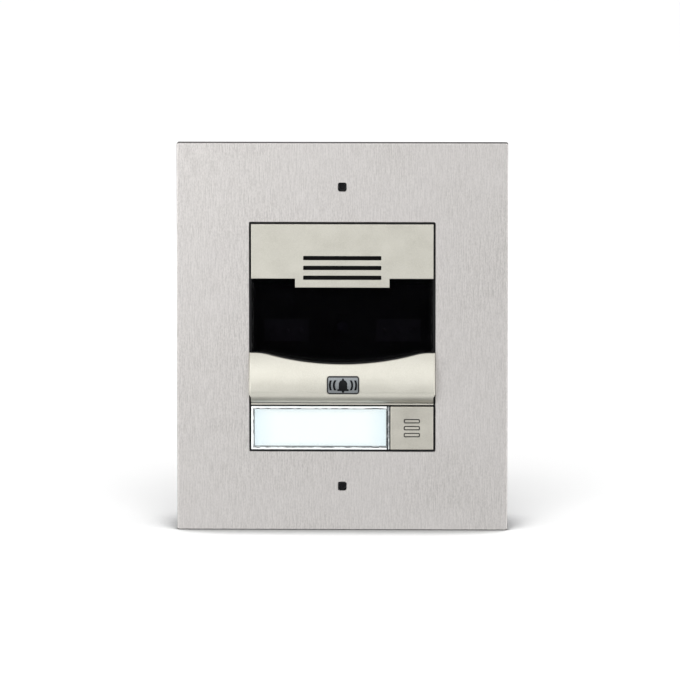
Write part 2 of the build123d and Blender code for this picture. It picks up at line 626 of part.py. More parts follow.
def front_board():
    board = span(-34.6, 34.6, FRONT_BOARD_Y, FRONT_BOARD_Y + FRONT_BOARD_THICK, -43.9, -28.2)
    for x, z in HOUSING_BOLTS:
        board -= rod(x, z, 3.3, 0, 5)
    for x, z in FRONT_BOARD_BOLTS:
        board -= rod(x, z, 0.95, 0, 5)
    return board


def tag_leds():
    return group(slab(3.2, 1.5, 0.9, FRONT_BOARD_Y, TAG_X + (i - 2.5) * 8.2, ROW_Z) for i in range(6))


def contact_pads():
    """Two half-round gold pads that the pill bridges."""
    disc = rod(BUTTON_X, ROW_Z, 2.6, FRONT_BOARD_Y - 0.05, FRONT_BOARD_Y)
    return group([disc - slab(0.6, 8, 0, 3, BUTTON_X, ROW_Z)])


def board_link():
    """The pin header between the front board and the main board."""
    back = FRONT_BOARD_Y + FRONT_BOARD_THICK
    return slab(12.7, 2.5, back, BOARD_Y, 4, -33)


def processor_chip():
    chip = slab(15, 15, BOARD_BACK, BOARD_BACK + 1.4, 2, 22, 0.4)
    return chip - rod(-4, 28, 0.6, BOARD_BACK + 1.2, BOARD_BACK + 1.4)


def memory_chips():
    return group(slab(9, 12, BOARD_BACK, BOARD_BACK + 1.1, x, 38, 0.3) for x in (-6, 6))


def network_transformer():
    return slab(13, 17, BOARD_BACK, BOARD_BACK + 6.2, -20, 11, 0.8)


def power_transformer():
    core = slab(17, 14, BOARD_BACK, BOARD_BACK + 10, -20, 33, 1.0)
    winding = slab(12, 17, BOARD_BACK + 2.5, BOARD_BACK + 7.5, -20, 33, 2.0)
    return core + winding


def door_relay():
    case = slab(10, 18, BOARD_BACK, BOARD_BACK + 11, 24, 6, 0.6)
    return fillet(case.faces().sort_by(Axis.Y)[-1].edges(), 0.5)


def capacitors():
    cans = []
    for x, z in ((8.0, -4.0), (17.0, 20.0), (-6.0, 4.0)):
        can = rod(x, z, 3.15, BOARD_BACK, BOARD_BACK + 8)
        cans.append(fillet(can.faces().sort_by(Axis.Y)[-1].edges(), 0.5))
    return group(cans)


def network_socket():
    """The jack for the network lead. Its mouth faces down into the wiring space."""
    body = span(JACK_X0, JACK_X1, BOARD_BACK, 25.1, INNER_STEP_Z, -1)
    body += span(JACK_X0, JACK_X1, SHALLOW_Y + 0.2, 25.1, MOUTH_Z, INNER_STEP_Z)
    mid = (JACK_X0 + JACK_X1) / 2
    body -= span(mid - 5.9, mid + 5.9, 15.6, 22.4, MOUTH_Z, -6)
    body -= span(mid - 3.1, mid + 3.1, 22.3, 23.9, MOUTH_Z, -10)
    return body


CONTACT_XS = [(i - 3.5) * 1.02 for i in range(8)]


def socket_contacts():
    mid = (JACK_X0 + JACK_X1) / 2
    pins = [span(mid + x - 0.2, mid + x + 0.2, 15.6, 16.2, -20, -6) for x in CONTACT_XS]
    return group(pins)


POLE_XS = [(TERM_X0 + TERM_X1) / 2 + (i - (POLES - 1) / 2) * POLE_PITCH for i in range(POLES)]
TERM_Y0, TERM_Y1 = SHALLOW_Y + 0.2, 21.8
PLUG_Z0, PLUG_Z1 = -34.0, MOUTH_Z - 0.3


def terminal_header():
    body = span(TERM_X0, TERM_X1, BOARD_BACK, TERM_Y1, INNER_STEP_Z, -9)
    body += span(TERM_X0, TERM_X1, TERM_Y0, TERM_Y1, MOUTH_Z, INNER_STEP_Z)
    return body - span(TERM_X0 + 1.2, TERM_X1 - 1.2, 15.3, 20.7, MOUTH_Z, -11)


def terminal_pins():
    return group(upright(x, 18.0, 0.5, -19.0, -11.0) for x in POLE_XS)


def terminal_plug():
    plug = span(TERM_X0 + 0.4, TERM_X1 - 0.4, SHALLOW_Y + 0.4, 24.5, PLUG_Z0, PLUG_Z1)
    plug += span(TERM_X0 + 1.5, TERM_X1 - 1.5, 15.6, 20.4, PLUG_Z1, -12.5)
    for x in POLE_XS:
        plug -= upright(x, 18.0, 0.8, -20.5, -12.5)
        plug -= span(x - 1.3, x + 1.3, 16.4, 19.6, PLUG_Z0, PLUG_Z0 + 7)
        plug -= rod(x, -29.0, 1.45, 21.0, 24.5)
    return plug


def terminal_screws():
    screws = []
    for x in POLE_XS:
        screw = rod(x, -29.0, 1.35, 21.0, 23.6)
        screws.append(screw - slab(2.2, 0.5, 23.0, 23.6, x, -29.0))
    return group(screws)


TAMPER_TOP = BOARD_BACK + 5.0


def tamper_switch():
    body = slab(8, 8, BOARD_BACK, TAMPER_TOP, TAMPER_X, TAMPER_Z, 0.6)
    return body - rod(TAMPER_X, TAMPER_Z, PLUNGER_STEM_R + 0.08, TAMPER_TOP - 3.2, TAMPER_TOP)


def tamper_plunger():
    stem = rod(TAMPER_X, TAMPER_Z, PLUNGER_STEM_R, TAMPER_TOP - 2.4, TAMPER_END - 0.1)
    tip = stem.faces().sort_by(Axis.Y)[-1].edges()
    return fillet(tip, 0.5) + rod(TAMPER_X, TAMPER_Z, 2.6, TAMPER_TOP + 1.2, TAMPER_TOP + 2.2)


def tamper_spring():
    """A coil around the plunger's stem, between the switch and the plunger's collar."""
    pitch, height, coil_r = 0.38, 1.14, 2.05
    path = Helix(pitch, height - 0.3, coil_r)
    wire_r = 0.13
    section = Plane(path @ 0, z_dir=path % 0) * Circle(wire_r)
    coil = sweep(section, path=path, is_frenet=True)
    turned = Rot(-90, 0, 0) * coil
    return Pos(TAMPER_X, TAMPER_TOP + 0.17, TAMPER_Z) * turned


def reset_switch():
    body = span(RESET_X - 2.2, RESET_X + 2.6, BOARD_BACK, RESET_Y + 2.4, INNER_STEP_Z, -13.5)
    return body - upright(RESET_X, RESET_Y, 1.08, INNER_STEP_Z, -17.5)


def reset_button():
    return upright(RESET_X, RESET_Y, 1.0, STEP_Z - 0.6, -18.2)


# ---- camera and night lights ----
LENS_FRONT = 1.7
CAMERA_BOARD_Y = 8.0


def camera_bracket():
    plate = span(-35.4, 35.4, BRACKET_FRONT, BRACKET_FRONT + BRACKET_SHEET, -12.4, 19.4)
    for x, z in BRACKET_BOLTS:
        plate += slab(7, 9, BRACKET_FRONT, BRACKET_FRONT + BRACKET_SHEET, x, z + 1.5)
        plate -= rod(x, z, 0.95, 0, 9)
    return plate - rod(0, CAMERA_Z, 6.2, 0, 9)


def lens_barrel():
    barrel = tube(0, CAMERA_Z, 4.4, 2.3, LENS_FRONT, CAMERA_BOARD_Y - 3.4)
    barrel += tube(0, CAMERA_Z, 5.2, 4.4, LENS_FRONT + 1.6, CAMERA_BOARD_Y - 3.4)
    cone = Plane((0, LENS_FRONT, CAMERA_Z), x_dir=(1, 0, 0), z_dir=(0, -1, 0))
    flare = cone * Pos(0, 0, -0.6) * Cone(2.3, 3.5, 1.2)
    return barrel - flare


def camera_lens():
    ball = Pos(0, LENS_FRONT + 3.6, CAMERA_Z) * Sphere(3.0)
    return ball & rod(0, CAMERA_Z, 2.28, LENS_FRONT + 0.3, LENS_FRONT + 2.4)


def camera_holder():
    front = CAMERA_BOARD_Y - 3.4
    block = slab(12, 12, front + 0.4, CAMERA_BOARD_Y, 0, CAMERA_Z, 0.8)
    block -= rod(0, CAMERA_Z, 3.4, front, CAMERA_BOARD_Y)
    return block + tube(0, CAMERA_Z, 5.0, 3.4, front, front + 0.4)


def image_sensor():
    return slab(4.6, 4.6, CAMERA_BOARD_Y - 0.8, CAMERA_BOARD_Y, 0, CAMERA_Z)


def camera_board():
    return slab(17, 17, CAMERA_BOARD_Y, CAMERA_BOARD_Y + 1.0, 0, CAMERA_Z, 0.8)


def camera_connector():
    return slab(11, 3, CAMERA_BOARD_Y + 1.0, BOARD_Y, 0, CAMERA_Z - 5)


def infrared_boards():
    back = BRACKET_FRONT
    return group(slab(17.7, 8.8, back - 0.8, back, x, INFRARED_Z, 0.5) for x in (-INFRARED_X, INFRARED_X))


def infrared_leds():
    back = BRACKET_FRONT - 0.8
    lights = []
    for side in (-1, 1):
        for i in (-1, 0, 1):
            x = side * INFRARED_X + 5.4 * i
            base = slab(3.4, 3.4, back - 0.6, back, x, INFRARED_Z, 0.3)
            dome = Pos(x, back - 0.3, INFRARED_Z) * Sphere(1.25)
            lights.append(base + (dome & slab(4, 4, back - 1.4, back - 0.3, x, INFRARED_Z)))
    return group(lights)


# ---- loudspeaker and microphone ----
BASKET_FRONT = CHASSIS_BACK + 0.5
COIL_R = 4.0
MAGNET_BACK = 9.2
MAGNET_FRONT = 5.4
LEAD_R = 0.45


def speaker_mesh():
    return slab(35, 13.2, COVER_BACK + 0.05, COVER_BACK + 0.3, 0, SLOT_MID_Z)


def speaker_gasket():
    band = racetrack(37, 20.8, CHASSIS_BACK, BASKET_FRONT, SPEAKER_Z)
    return band - racetrack(33.6, 17.4, CHASSIS_BACK, BASKET_FRONT, SPEAKER_Z)


def speaker_basket():
    body = racetrack(37, 20.8, BASKET_FRONT, BASKET_FRONT + 1.0, SPEAKER_Z)
    body += racetrack(34.2, 18, BASKET_FRONT + 1.0, MAGNET_FRONT, SPEAKER_Z)
    body -= racetrack(32.6, 16.4, BASKET_FRONT, MAGNET_FRONT - 0.8, SPEAKER_Z)
    body -= rod(0, SPEAKER_Z, COIL_R + 0.9, 0, 9)
    for x in (-11.5, 11.5):
        body -= prism(Pos(x, SPEAKER_Z) * SlotOverall(6.5, 4.5, 90), MAGNET_FRONT - 0.8, MAGNET_FRONT)
    return body


def speaker_magnet():
    yoke = rod(0, SPEAKER_Z, 7.8, MAGNET_FRONT, MAGNET_BACK)
    gap = tube(0, SPEAKER_Z, COIL_R + 0.6, COIL_R - 0.7, MAGNET_FRONT, MAGNET_BACK - 1.0)
    return yoke - gap


def speaker_cone():
    front = BASKET_FRONT + 0.35
    dish = racetrack(28, 12, front, front + 0.4, SPEAKER_Z)
    dish -= rod(0, SPEAKER_Z, COIL_R, front, front + 0.4)
    cap = Pos(0, front + 4.7, SPEAKER_Z) * (Sphere(6.0) - Sphere(5.7))
    return dish + (cap & rod(0, SPEAKER_Z, COIL_R + 0.3, front - 3, front + 0.9))


def voice_coil():
    return tube(0, SPEAKER_Z, COIL_R + 0.2, COIL_R - 0.3, BASKET_FRONT + 1.25, 7.4)


def speaker_surround():
    front = BASKET_FRONT + 0.4
    band = racetrack(32.5, 16.3, front, front + 0.3, SPEAKER_Z)
    return band - racetrack(28.02, 12.02, front, front + 0.3, SPEAKER_Z)


def lead(offset):
    """One insulated wire from the loudspeaker's terminals to its plug on the main board."""
    x, y = -19.1 - offset, MAGNET_FRONT + 0.8 + LEAD_R
    points = [(x, y, 32.0), (x, y, 26.5), (x + 0.8, y + 0.9, 21.0), (x + 2.6, 8.7, 15.4)]
    path = FilletPolyline(*points, radius=2.4)
    section = Plane(path @ 0, z_dir=path % 0) * Circle(LEAD_R)
    return sweep(section, path=path)


def speaker_leads():
    """Both wires, the terminal strip they start on and the plug they end in."""
    strip = span(-21.6, -14.4, MAGNET_FRONT, MAGNET_FRONT + 0.8, 29.0, 33.0)
    plug = slab(5.4, 3.6, 7.4, BOARD_Y, -17.1, 13.6, 0.3)
    return group([lead(0), lead(1.3), strip, plug])


def microphone_boot():
    body = rod(MIC_X, MIC_Z, 4.2, CHASSIS_BACK, CHASSIS_BACK + 3.6)
    body -= rod(MIC_X, MIC_Z, 3.0, CHASSIS_BACK + 0.9, CHASSIS_BACK + 3.6)
    return body - rod(MIC_X, MIC_Z, 0.8, CHASSIS_BACK, CHASSIS_BACK + 0.9)


def microphone():
    can = rod(MIC_X, MIC_Z, 2.98, CHASSIS_BACK + 0.9, CHASSIS_BACK + 3.4)
    return can - rod(MIC_X, MIC_Z, 0.8, CHASSIS_BACK + 0.9, CHASSIS_BACK + 1.3)


# ---- screws inside the unit ----
def cover_screws():
    screws = [rear_screw(x, z, CHASSIS_BACK + 1.3, 1.04, 3.1, 2.0, 1.3) for x, z in COVER_BOLTS]
    screws += [rear_screw(x, z, CHASSIS_BACK + 1.3, 1.04, 5.2, 2.0, 1.3) for x, z in NOSE_BOLTS]
    return group(screws)


def board_screws():
    screws = [rear_screw(x, z, BOARD_BACK + 1.4, 0.94, 6.0, 2.0, 1.4) for x, z in BOARD_BOLTS]
    back = FRONT_BOARD_Y + FRONT_BOARD_THICK
    screws += [rear_screw(x, z, back + 1.0, 0.74, 2.9, 1.5, 1.0) for x, z in FRONT_BOARD_BOLTS]
    back = BRACKET_FRONT + BRACKET_SHEET
    screws += [rear_screw(x, z, back + 1.0, 0.74, 3.6, 1.5, 1.0) for x, z in BRACKET_BOLTS]
    return group(screws)


def housing_screws():
    screws = []
    for x, z in HOUSING_BOLTS:
        seat = 16.0 if z > 0 else SHALLOW_Y - 2.4
        screws.append(rear_screw(x, z, seat + 1.6, 1.08, seat - 1.6, 2.4, 1.6))
    return group(screws)


NODES = {
    "flush_box": flush_box,
    "cable_grommets": lambda: group([cable_grommet(-1), cable_grommet(1)]),
    "box_inserts": lambda: group(box_insert(x, z) for x, z in KEY_SCREWS),
    "wall_gasket": wall_gasket,
    "front_plate": front_plate,
    "screw_bridges": lambda: group(screw_bridge(x, z) for x, z in KEY_SCREWS),
    "fixing_screws": lambda: group(key_screw(x, z) for x, z in KEY_SCREWS),
    "plate_studs": lambda: group(stud(x, z) for x, z in STUDS),
    "stud_nuts": lambda: group(make(x, z) for x, z in STUDS for make in (washer, nut)),
    "module_seal": module_seal,
    "front_chassis": front_chassis,
    "rear_housing": rear_housing,
    "inner_seals": lambda: group([housing_seal(), window_gasket(), speaker_gasket()]),
    "housing_screws": housing_screws,
    "speaker_cover": speaker_cover,
    "nose_cover": nose_cover,
    "cover_screws": cover_screws,
    "badge": badge,
    "badge_emblem": emblem,
    "camera_window": camera_window,
    "name_tag_cover": name_tag_cover,
    "name_card": name_card,
    "tag_light_guide": tag_light_guide,
    "tag_leds": tag_leds,
    "front_board": front_board,
    "call_button": call_button,
    "button_plunger": button_plunger,
    "contact_pill": contact_pill,
    "keypad_web": keypad_web,
    "keypad_base": keypad_base,
    "main_board": main_board,
    "board_link": board_link,
    "board_screws": board_screws,
    "processor_chip": lambda: group([processor_chip(), memory_chips()]),
    "transformers": lambda: group([network_transformer(), power_transformer()]),
    "door_relay": door_relay,
    "capacitors": capacitors,
    "network_socket": network_socket,
    "gold_contacts": lambda: group([contact_pads(), socket_contacts(), terminal_pins()]),
    "terminal_header": terminal_header,
    "terminal_plug": terminal_plug,
    "terminal_screws": terminal_screws,
    "tamper_switch": tamper_switch,
    "tamper_plunger": tamper_plunger,
    "tamper_spring": tamper_spring,
    "reset_switch": reset_switch,
    "reset_button": reset_button,
    "camera_bracket": camera_bracket,
    "camera_unit": lambda: group([camera_holder(), image_sensor(), camera_board(), camera_connector()]),
    "lens_barrel": lens_barrel,
    "camera_lens": camera_lens,
    "infrared_lights": lambda: group([infrared_boards(), infrared_leds()]),
    "loudspeaker": lambda: group([speaker_basket(), speaker_magnet()]),
    "speaker_mesh": speaker_mesh,
    "speaker_leads": speaker_leads,
    "microphone_boot": microphone_boot,
    "microphone": microphone,
    "speaker_cone": speaker_cone,
    "voice_coil": voice_coil,
    "speaker_surround": speaker_surround,
}

os.makedirs("parts", exist_ok=True)
for name, make in NODES.items():
    export_step(make(), f"parts/{name}.step")
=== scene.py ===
import bpy
import json
import math
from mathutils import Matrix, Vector


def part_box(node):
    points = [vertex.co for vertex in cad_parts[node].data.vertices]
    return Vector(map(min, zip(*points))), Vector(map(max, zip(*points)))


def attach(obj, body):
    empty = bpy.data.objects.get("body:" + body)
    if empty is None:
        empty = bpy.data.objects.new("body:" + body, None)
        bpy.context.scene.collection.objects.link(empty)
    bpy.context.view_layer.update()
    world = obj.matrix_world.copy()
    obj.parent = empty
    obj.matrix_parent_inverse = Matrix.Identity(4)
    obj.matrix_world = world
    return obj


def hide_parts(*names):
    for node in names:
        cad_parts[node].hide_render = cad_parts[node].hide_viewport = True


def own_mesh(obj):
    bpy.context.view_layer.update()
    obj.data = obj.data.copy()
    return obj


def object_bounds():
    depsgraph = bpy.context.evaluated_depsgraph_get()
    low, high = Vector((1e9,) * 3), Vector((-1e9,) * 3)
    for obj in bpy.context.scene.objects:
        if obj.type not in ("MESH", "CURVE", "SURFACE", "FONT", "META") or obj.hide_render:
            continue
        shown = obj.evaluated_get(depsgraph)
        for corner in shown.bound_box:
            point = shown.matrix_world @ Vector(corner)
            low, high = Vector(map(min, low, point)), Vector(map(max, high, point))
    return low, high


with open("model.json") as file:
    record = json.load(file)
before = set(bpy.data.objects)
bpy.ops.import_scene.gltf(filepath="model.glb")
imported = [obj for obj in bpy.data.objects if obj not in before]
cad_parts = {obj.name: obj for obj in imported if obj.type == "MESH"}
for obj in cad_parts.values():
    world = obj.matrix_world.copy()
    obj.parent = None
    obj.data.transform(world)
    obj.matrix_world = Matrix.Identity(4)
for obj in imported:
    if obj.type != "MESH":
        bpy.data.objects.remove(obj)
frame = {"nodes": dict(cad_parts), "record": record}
CAD_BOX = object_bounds()
NODES = frame["nodes"]

# ---- the photograph's view ----
AZIMUTH, ELEVATION = 1.2, 6.5
DISTANCE = 2.5
VIEW_WIDTH = 0.2674
SENSOR = 36.0
AIM_SHIFT_X, AIM_SHIFT_Z = -0.00094, -0.00145
MM = 1000.0


# ---- helpers for node materials ----
def box_mm(node):
    """A CAD node's two corners in millimetres."""
    return tuple(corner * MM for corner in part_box(node))


class Surface:
    """A procedural material around one Principled shader, with positions in millimetres."""

    def __init__(self, name, **sockets):
        self.material = bpy.data.materials.new(name)
        self.material.use_nodes = True
        self.tree = self.material.node_tree
        self.tree.nodes.clear()
        self.out = self.node("ShaderNodeOutputMaterial")
        self.shader = self.node("ShaderNodeBsdfPrincipled")
        self.put(self.out.inputs["Surface"], self.shader.outputs["BSDF"])
        for key, value in sockets.items():
            self.put(self.shader.inputs[key.replace("_", " ")], value)
        self.coords = self.node("ShaderNodeTexCoord")
        self.mm = self.vector("SCALE", self.coords.outputs["Object"], scale=MM)
        self.seed = 0.0

    def node(self, kind, **settings):
        node = self.tree.nodes.new(kind)
        for key, value in settings.items():
            setattr(node, key, value)
        return node

    def put(self, socket, value):
        if isinstance(value, bpy.types.NodeSocket):
            self.tree.links.new(value, socket)
        elif socket.type == "RGBA" and len(value) == 3:
            socket.default_value = (*value, 1.0)
        else:
            socket.default_value = value

    def vector(self, operation, a, b=None, scale=None):
        node = self.node("ShaderNodeVectorMath", operation=operation)
        self.put(node.inputs[0], a)
        if b is not None:
            self.put(node.inputs[1], b)
        if scale is not None:
            self.put(node.inputs["Scale"], scale)
        return node.outputs["Value" if operation in ("DOT_PRODUCT", "LENGTH") else "Vector"]

    def math(self, operation, a, b=0.0, c=0.0):
        node = self.node("ShaderNodeMath", operation=operation)
        for index, value in enumerate((a, b, c)):
            self.put(node.inputs[index], value)
        return node.outputs[0]

    def total(self, *parts):
        """The weighted sum of (value, weight) pairs."""
        added = None
        for value, weight in parts:
            part = self.math("MULTIPLY", value, weight)
            added = part if added is None else self.math("ADD", added, part)
        return added

    def between(self, value, low, high, to_low=0.0, to_high=1.0):
        node = self.node("ShaderNodeMapRange", interpolation_type="SMOOTHSTEP")
        for key, number in zip(("Value", "From Min", "From Max", "To Min", "To Max"),
                               (value, low, high, to_low, to_high)):
            self.put(node.inputs[key], number)
        return node.outputs["Result"]

    def mix(self, share, a, b):
        node = self.node("ShaderNodeMix", data_type="RGBA")
        self.put(node.inputs["Factor"], share)
        self.put(node.inputs[6], a)
        self.put(node.inputs[7], b)
        return node.outputs[2]

    def pick(self, share, a, b):
        """One of two values, or a mix of them."""
        node = self.node("ShaderNodeMix", data_type="FLOAT")
        for index, value in ((0, share), (2, a), (3, b)):
            self.put(node.inputs[index], value)
        return node.outputs[0]

    def noise(self, grain, detail=2.0, rough=0.5):
        """Noise whose features are as large as grain, one number or one for each axis."""
        grain = (grain,) * 3 if isinstance(grain, (int, float)) else grain
        self.seed += 17.3
        place = self.vector("DIVIDE", self.mm, grain)
        place = self.vector("ADD", place, (self.seed, -self.seed, 0.5 * self.seed))
        node = self.node("ShaderNodeTexNoise")
        for key, value in (("Vector", place), ("Scale", 1.0), ("Detail", detail), ("Roughness", rough)):
            self.put(node.inputs[key], value)
        return node.outputs["Fac"]

    def cells(self, size, feature="F1", output="Distance"):
        node = self.node("ShaderNodeTexVoronoi", feature=feature)
        self.put(node.inputs["Vector"], self.vector("SCALE", self.mm, scale=1.0 / size))
        self.put(node.inputs["Scale"], 1.0)
        return node.outputs[output]

    def axis(self, letter):
        node = self.node("ShaderNodeSeparateXYZ")
        self.put(node.inputs[0], self.mm)
        return node.outputs[letter]

    def distance(self, value, place):
        """How far a value in millimetres is from a place."""
        return self.math("ABSOLUTE", self.math("SUBTRACT", value, place))

    def band(self, value, low, high, soft):
        """1 between two limits, with soft ends."""
        return self.math("MULTIPLY", self.between(value, low - soft / 2, low + soft / 2),
                         self.between(value, high + soft / 2, high - soft / 2))

    def ridges(self, value, pitch):
        """A sine from 0 to 1 along a value in millimetres."""
        turns = self.math("MULTIPLY", value, 2 * math.pi / pitch)
        return self.math("MULTIPLY_ADD", self.math("SINE", turns), 0.5, 0.5)

    def facing(self, letter):
        """How far the surface faces along an axis of the object."""
        node = self.node("ShaderNodeSeparateXYZ")
        self.put(node.inputs[0], self.coords.outputs["Normal"])
        return node.outputs[letter]

    def edges(self, radius):
        """1 along edges, 0 on flat and gently curved surfaces."""
        bevel = self.node("ShaderNodeBevel", samples=6)
        self.put(bevel.inputs["Radius"], radius / MM)
        normal = self.node("ShaderNodeNewGeometry").outputs["Normal"]
        turn = self.vector("DOT_PRODUCT", bevel.outputs["Normal"], normal)
        return self.between(turn, 0.985, 0.8)

    def bump(self, height, depth):
        """Relief of a height from 0 to 1, depth in millimetres."""
        node = self.node("ShaderNodeBump")
        self.put(node.inputs["Height"], height)
        self.put(node.inputs["Distance"], depth / MM)
        self.put(node.inputs["Strength"], 1.0)
        self.put(self.shader.inputs["Normal"], node.outputs["Normal"])

    def colour(self, value):
        self.put(self.shader.inputs["Base Color"], value)

    def roughness(self, value):
        self.put(self.shader.inputs["Roughness"], value)


def shade(colour, factor):
    return tuple(min(1.0, c * factor) for c in colour)


# ---- metals ----
def brushed_steel(name):
    """Vertical brushing in short broken hairs. Painted shade blackens the cut edges inside the plate and
    darkens its upper and lower edge faces; a painted highlight lightens its edges."""
    s = Surface(name, Metallic=1.0)
    lo, hi = box_mm("front_plate")
    near_x = s.between(s.distance(s.axis("X"), 0.0), 0.8 * hi.x, 0.7 * hi.x)
    near_z = s.between(s.distance(s.axis("Z"), 0.0), 0.9 * hi.z, 0.85 * hi.z)
    field = s.math("MULTIPLY", near_x, near_z)
    # Painted shade: the walls of the cut-outs inside the plate are painted near-black.
    cutout_shade = s.math("MULTIPLY", field, s.between(s.math("ABSOLUTE", s.facing("Y")), 0.6, 0.3))
    hair = s.noise((0.16, 0.16, 3.2), 3.0, 0.7)
    line = s.noise((0.4, 0.4, 6.0), 2.0, 0.6)
    fleck = s.noise((0.5, 0.5, 1.1), 2.0, 0.6)
    cloud = s.noise(34.0, 2.0)
    grain = s.total((hair, 0.34), (line, 0.36), (fleck, 0.3))
    tone = s.between(grain, 0.36, 0.64)
    base = s.mix(tone, (0.53, 0.512, 0.496), (0.785, 0.76, 0.742))
    base = s.mix(s.between(cloud, 0.35, 0.65, 0.0, 0.35), base, (0.655, 0.635, 0.625))
    # Painted highlight: the plate's edges are painted lighter.
    base = s.mix(s.math("MULTIPLY", s.edges(0.35), 0.5), base, (0.8, 0.785, 0.77))
    # Painted shade: faces turned up and down are painted darker than the front face.
    upper = s.between(s.facing("Z"), 0.3, 0.75)
    lower = s.between(s.facing("Z"), -0.15, -0.5)
    edge_face_shade = s.total((upper, 0.55), (lower, 0.9))
    base = s.mix(edge_face_shade, base, s.mix(line, (0.10, 0.097, 0.094), (0.17, 0.165, 0.16)))
    # The near-black colour of the painted shade in the cut-outs.
    black = s.mix(hair, (0.008, 0.008, 0.008), (0.03, 0.03, 0.03))
    s.colour(s.mix(cutout_shade, base, black))
    s.put(s.shader.inputs["Metallic"], s.math("SUBTRACT", 1.0, cutout_shade))
    s.roughness(s.total((grain, -0.22), (cloud, 0.08), (1.0, 0.52)))
    s.bump(grain, 0.012)
    return s.material


def blasted_metal(name, light, dark, rough, grain=0.16, black=None):
    """Bead-blasted, lacquered metal: a fine even grain with slow clouds. The function black tells how
    far each place is painted near-black: painted shade in recesses and along shadow lines, and the
    badge's dark line."""
    s = Surface(name, Metallic=1.0)
    fine = s.noise(grain, 2.0, 0.6)
    pits = s.cells(grain * 2.4)
    cloud = s.noise((9.0, 9.0, 6.0), 3.0)
    mottle = s.total((fine, 0.5), (pits, 0.2), (cloud, 0.3))
    base = s.mix(s.between(mottle, 0.28, 0.62), dark, light)
    # Painted highlight: edges are painted lighter.
    base = s.mix(s.math("MULTIPLY", s.edges(0.22), 0.5), base, shade(light, 1.12))
    if black:
        # Painted near-black: shade in recesses and shadow lines, and the badge's dark line.
        share = black(s)
        base = s.mix(share, base, s.mix(fine, (0.006, 0.006, 0.006), (0.018, 0.018, 0.018)))
        s.put(s.shader.inputs["Metallic"], s.math("SUBTRACT", 1.0, share))
    s.colour(base)
    s.roughness(s.total((fine, 0.1), (cloud, 0.1), (1.0, rough - 0.1)))
    s.bump(s.total((fine, 0.6), (pits, 0.4)), 0.006)
    return s.material


def plated_metal(name, colour, rough, patch=0.9, worn=(0.55, 0.55, 0.54)):
    """Plated or turned small metal: patches of crystal, fine scratches and rubbed edges."""
    s = Surface(name, Metallic=1.0)
    crystal = s.cells(patch, output="Color")
    scratch = s.noise((2.5, 0.08, 0.08), 2.0, 0.7)
    stain = s.noise(2.4, 3.0)
    tone = s.total((crystal, 0.35), (scratch, 0.35), (stain, 0.3))
    base = s.mix(s.between(tone, 0.25, 0.7), shade(colour, 0.78), shade(colour, 1.12))
    s.colour(s.mix(s.math("MULTIPLY", s.edges(0.12), 0.7), base, worn))
    s.roughness(s.total((stain, 0.16), (scratch, 0.12), (1.0, rough - 0.12)))
    s.bump(s.total((scratch, 0.6), (stain, 0.4)), 0.006)
    return s.material


def threaded(name, colour, rough, pitch, start, end, worn):
    """A plated screw whose shank carries a thread between two depths."""
    s = Surface(name, Metallic=1.0)
    depth = s.axis("Y")
    shank = s.math("MULTIPLY", s.between(depth, start, start + 0.2), s.between(depth, end, end - 0.2))
    stain = s.noise(1.2, 3.0)
    thread = s.math("MULTIPLY", s.ridges(depth, pitch), shank)
    base = s.mix(s.between(stain, 0.3, 0.7), shade(colour, 0.75), shade(colour, 1.2))
    base = s.mix(s.math("MULTIPLY", thread, 0.4), base, worn)
    s.colour(s.mix(s.math("MULTIPLY", s.edges(0.12), 0.6), base, worn))
    s.roughness(s.total((stain, 0.2), (1.0, rough - 0.1)))
    s.bump(s.total((thread, 1.0), (stain, 0.04)), 0.22)
    return s.material


def drawn_wire(name, colour, rough, axis, pitch, gap_shade):
    """Metal wire or a winding: bright turns, with painted shade darkening the gaps between them."""
    s = Surface(name, Metallic=1.0)
    turns = s.ridges(s.axis(axis), pitch)
    wander = s.noise(0.6, 2.0)
    # Painted shade: the gaps between turns are painted darker.
    base = s.mix(s.between(turns, 0.1, 0.7), gap_shade, colour)
    s.colour(s.mix(s.between(wander, 0.4, 0.7, 0.0, 0.4), base, shade(colour, 0.7)))
    s.roughness(s.total((wander, 0.2), (1.0, rough)))
    s.bump(turns, 0.03)
    return s.material


def capacitor_can(name):
    """Aluminium tops with a scored cross, and a dark sleeve with a stripe round the sides."""
    s = Surface(name)
    top = s.between(s.facing("Y"), 0.85, 0.95)
    scuff = s.noise((1.8, 0.2, 1.8), 3.0)
    score = s.between(s.noise((0.5, 4.0, 4.0), 1.0), 0.52, 0.56)
    metal = s.mix(s.between(scuff, 0.3, 0.7), (0.58, 0.59, 0.6), (0.78, 0.79, 0.8))
    metal = s.mix(s.math("MULTIPLY", score, 0.3), metal, (0.35, 0.35, 0.36))
    stripe = s.between(s.facing("X"), 0.88, 0.92)
    sleeve = s.mix(stripe, (0.015, 0.018, 0.03), (0.3, 0.32, 0.36))
    s.colour(s.mix(top, sleeve, metal))
    s.put(s.shader.inputs["Metallic"], top)
    s.roughness(s.total((scuff, 0.2), (1.0, 0.26)))
    s.bump(scuff, 0.01)
    return s.material


# ---- plastics and rubbers ----
def moulded(name, colour, rough, grain=0.22, depth=0.012, lift=2.2):
    """Spark-eroded moulded plastic: fine pits, flow marks, rubbed edges and dust."""
    s = Surface(name)
    pits = s.noise(grain, 3.0, 0.6)
    flow = s.noise((14.0, 6.0, 26.0), 3.0)
    scuff = s.noise((0.3, 0.3, 5.0), 3.0, 0.7)
    marks = s.between(scuff, 0.62, 0.78)
    base = s.mix(s.between(pits, 0.3, 0.7), shade(colour, 0.82), shade(colour, 1.18))
    base = s.mix(s.between(flow, 0.35, 0.7, 0.0, 0.35), base, shade(colour, 1.35))
    base = s.mix(s.math("MULTIPLY", marks, 0.22), base, shade(colour, lift))
    s.colour(s.mix(s.math("MULTIPLY", s.edges(0.3), 0.45), base, shade(colour, lift)))
    s.roughness(s.total((pits, 0.12), (flow, 0.14), (marks, 0.08), (1.0, rough - 0.13)))
    s.bump(s.total((pits, 0.8), (flow, 0.6)), depth)
    return s.material


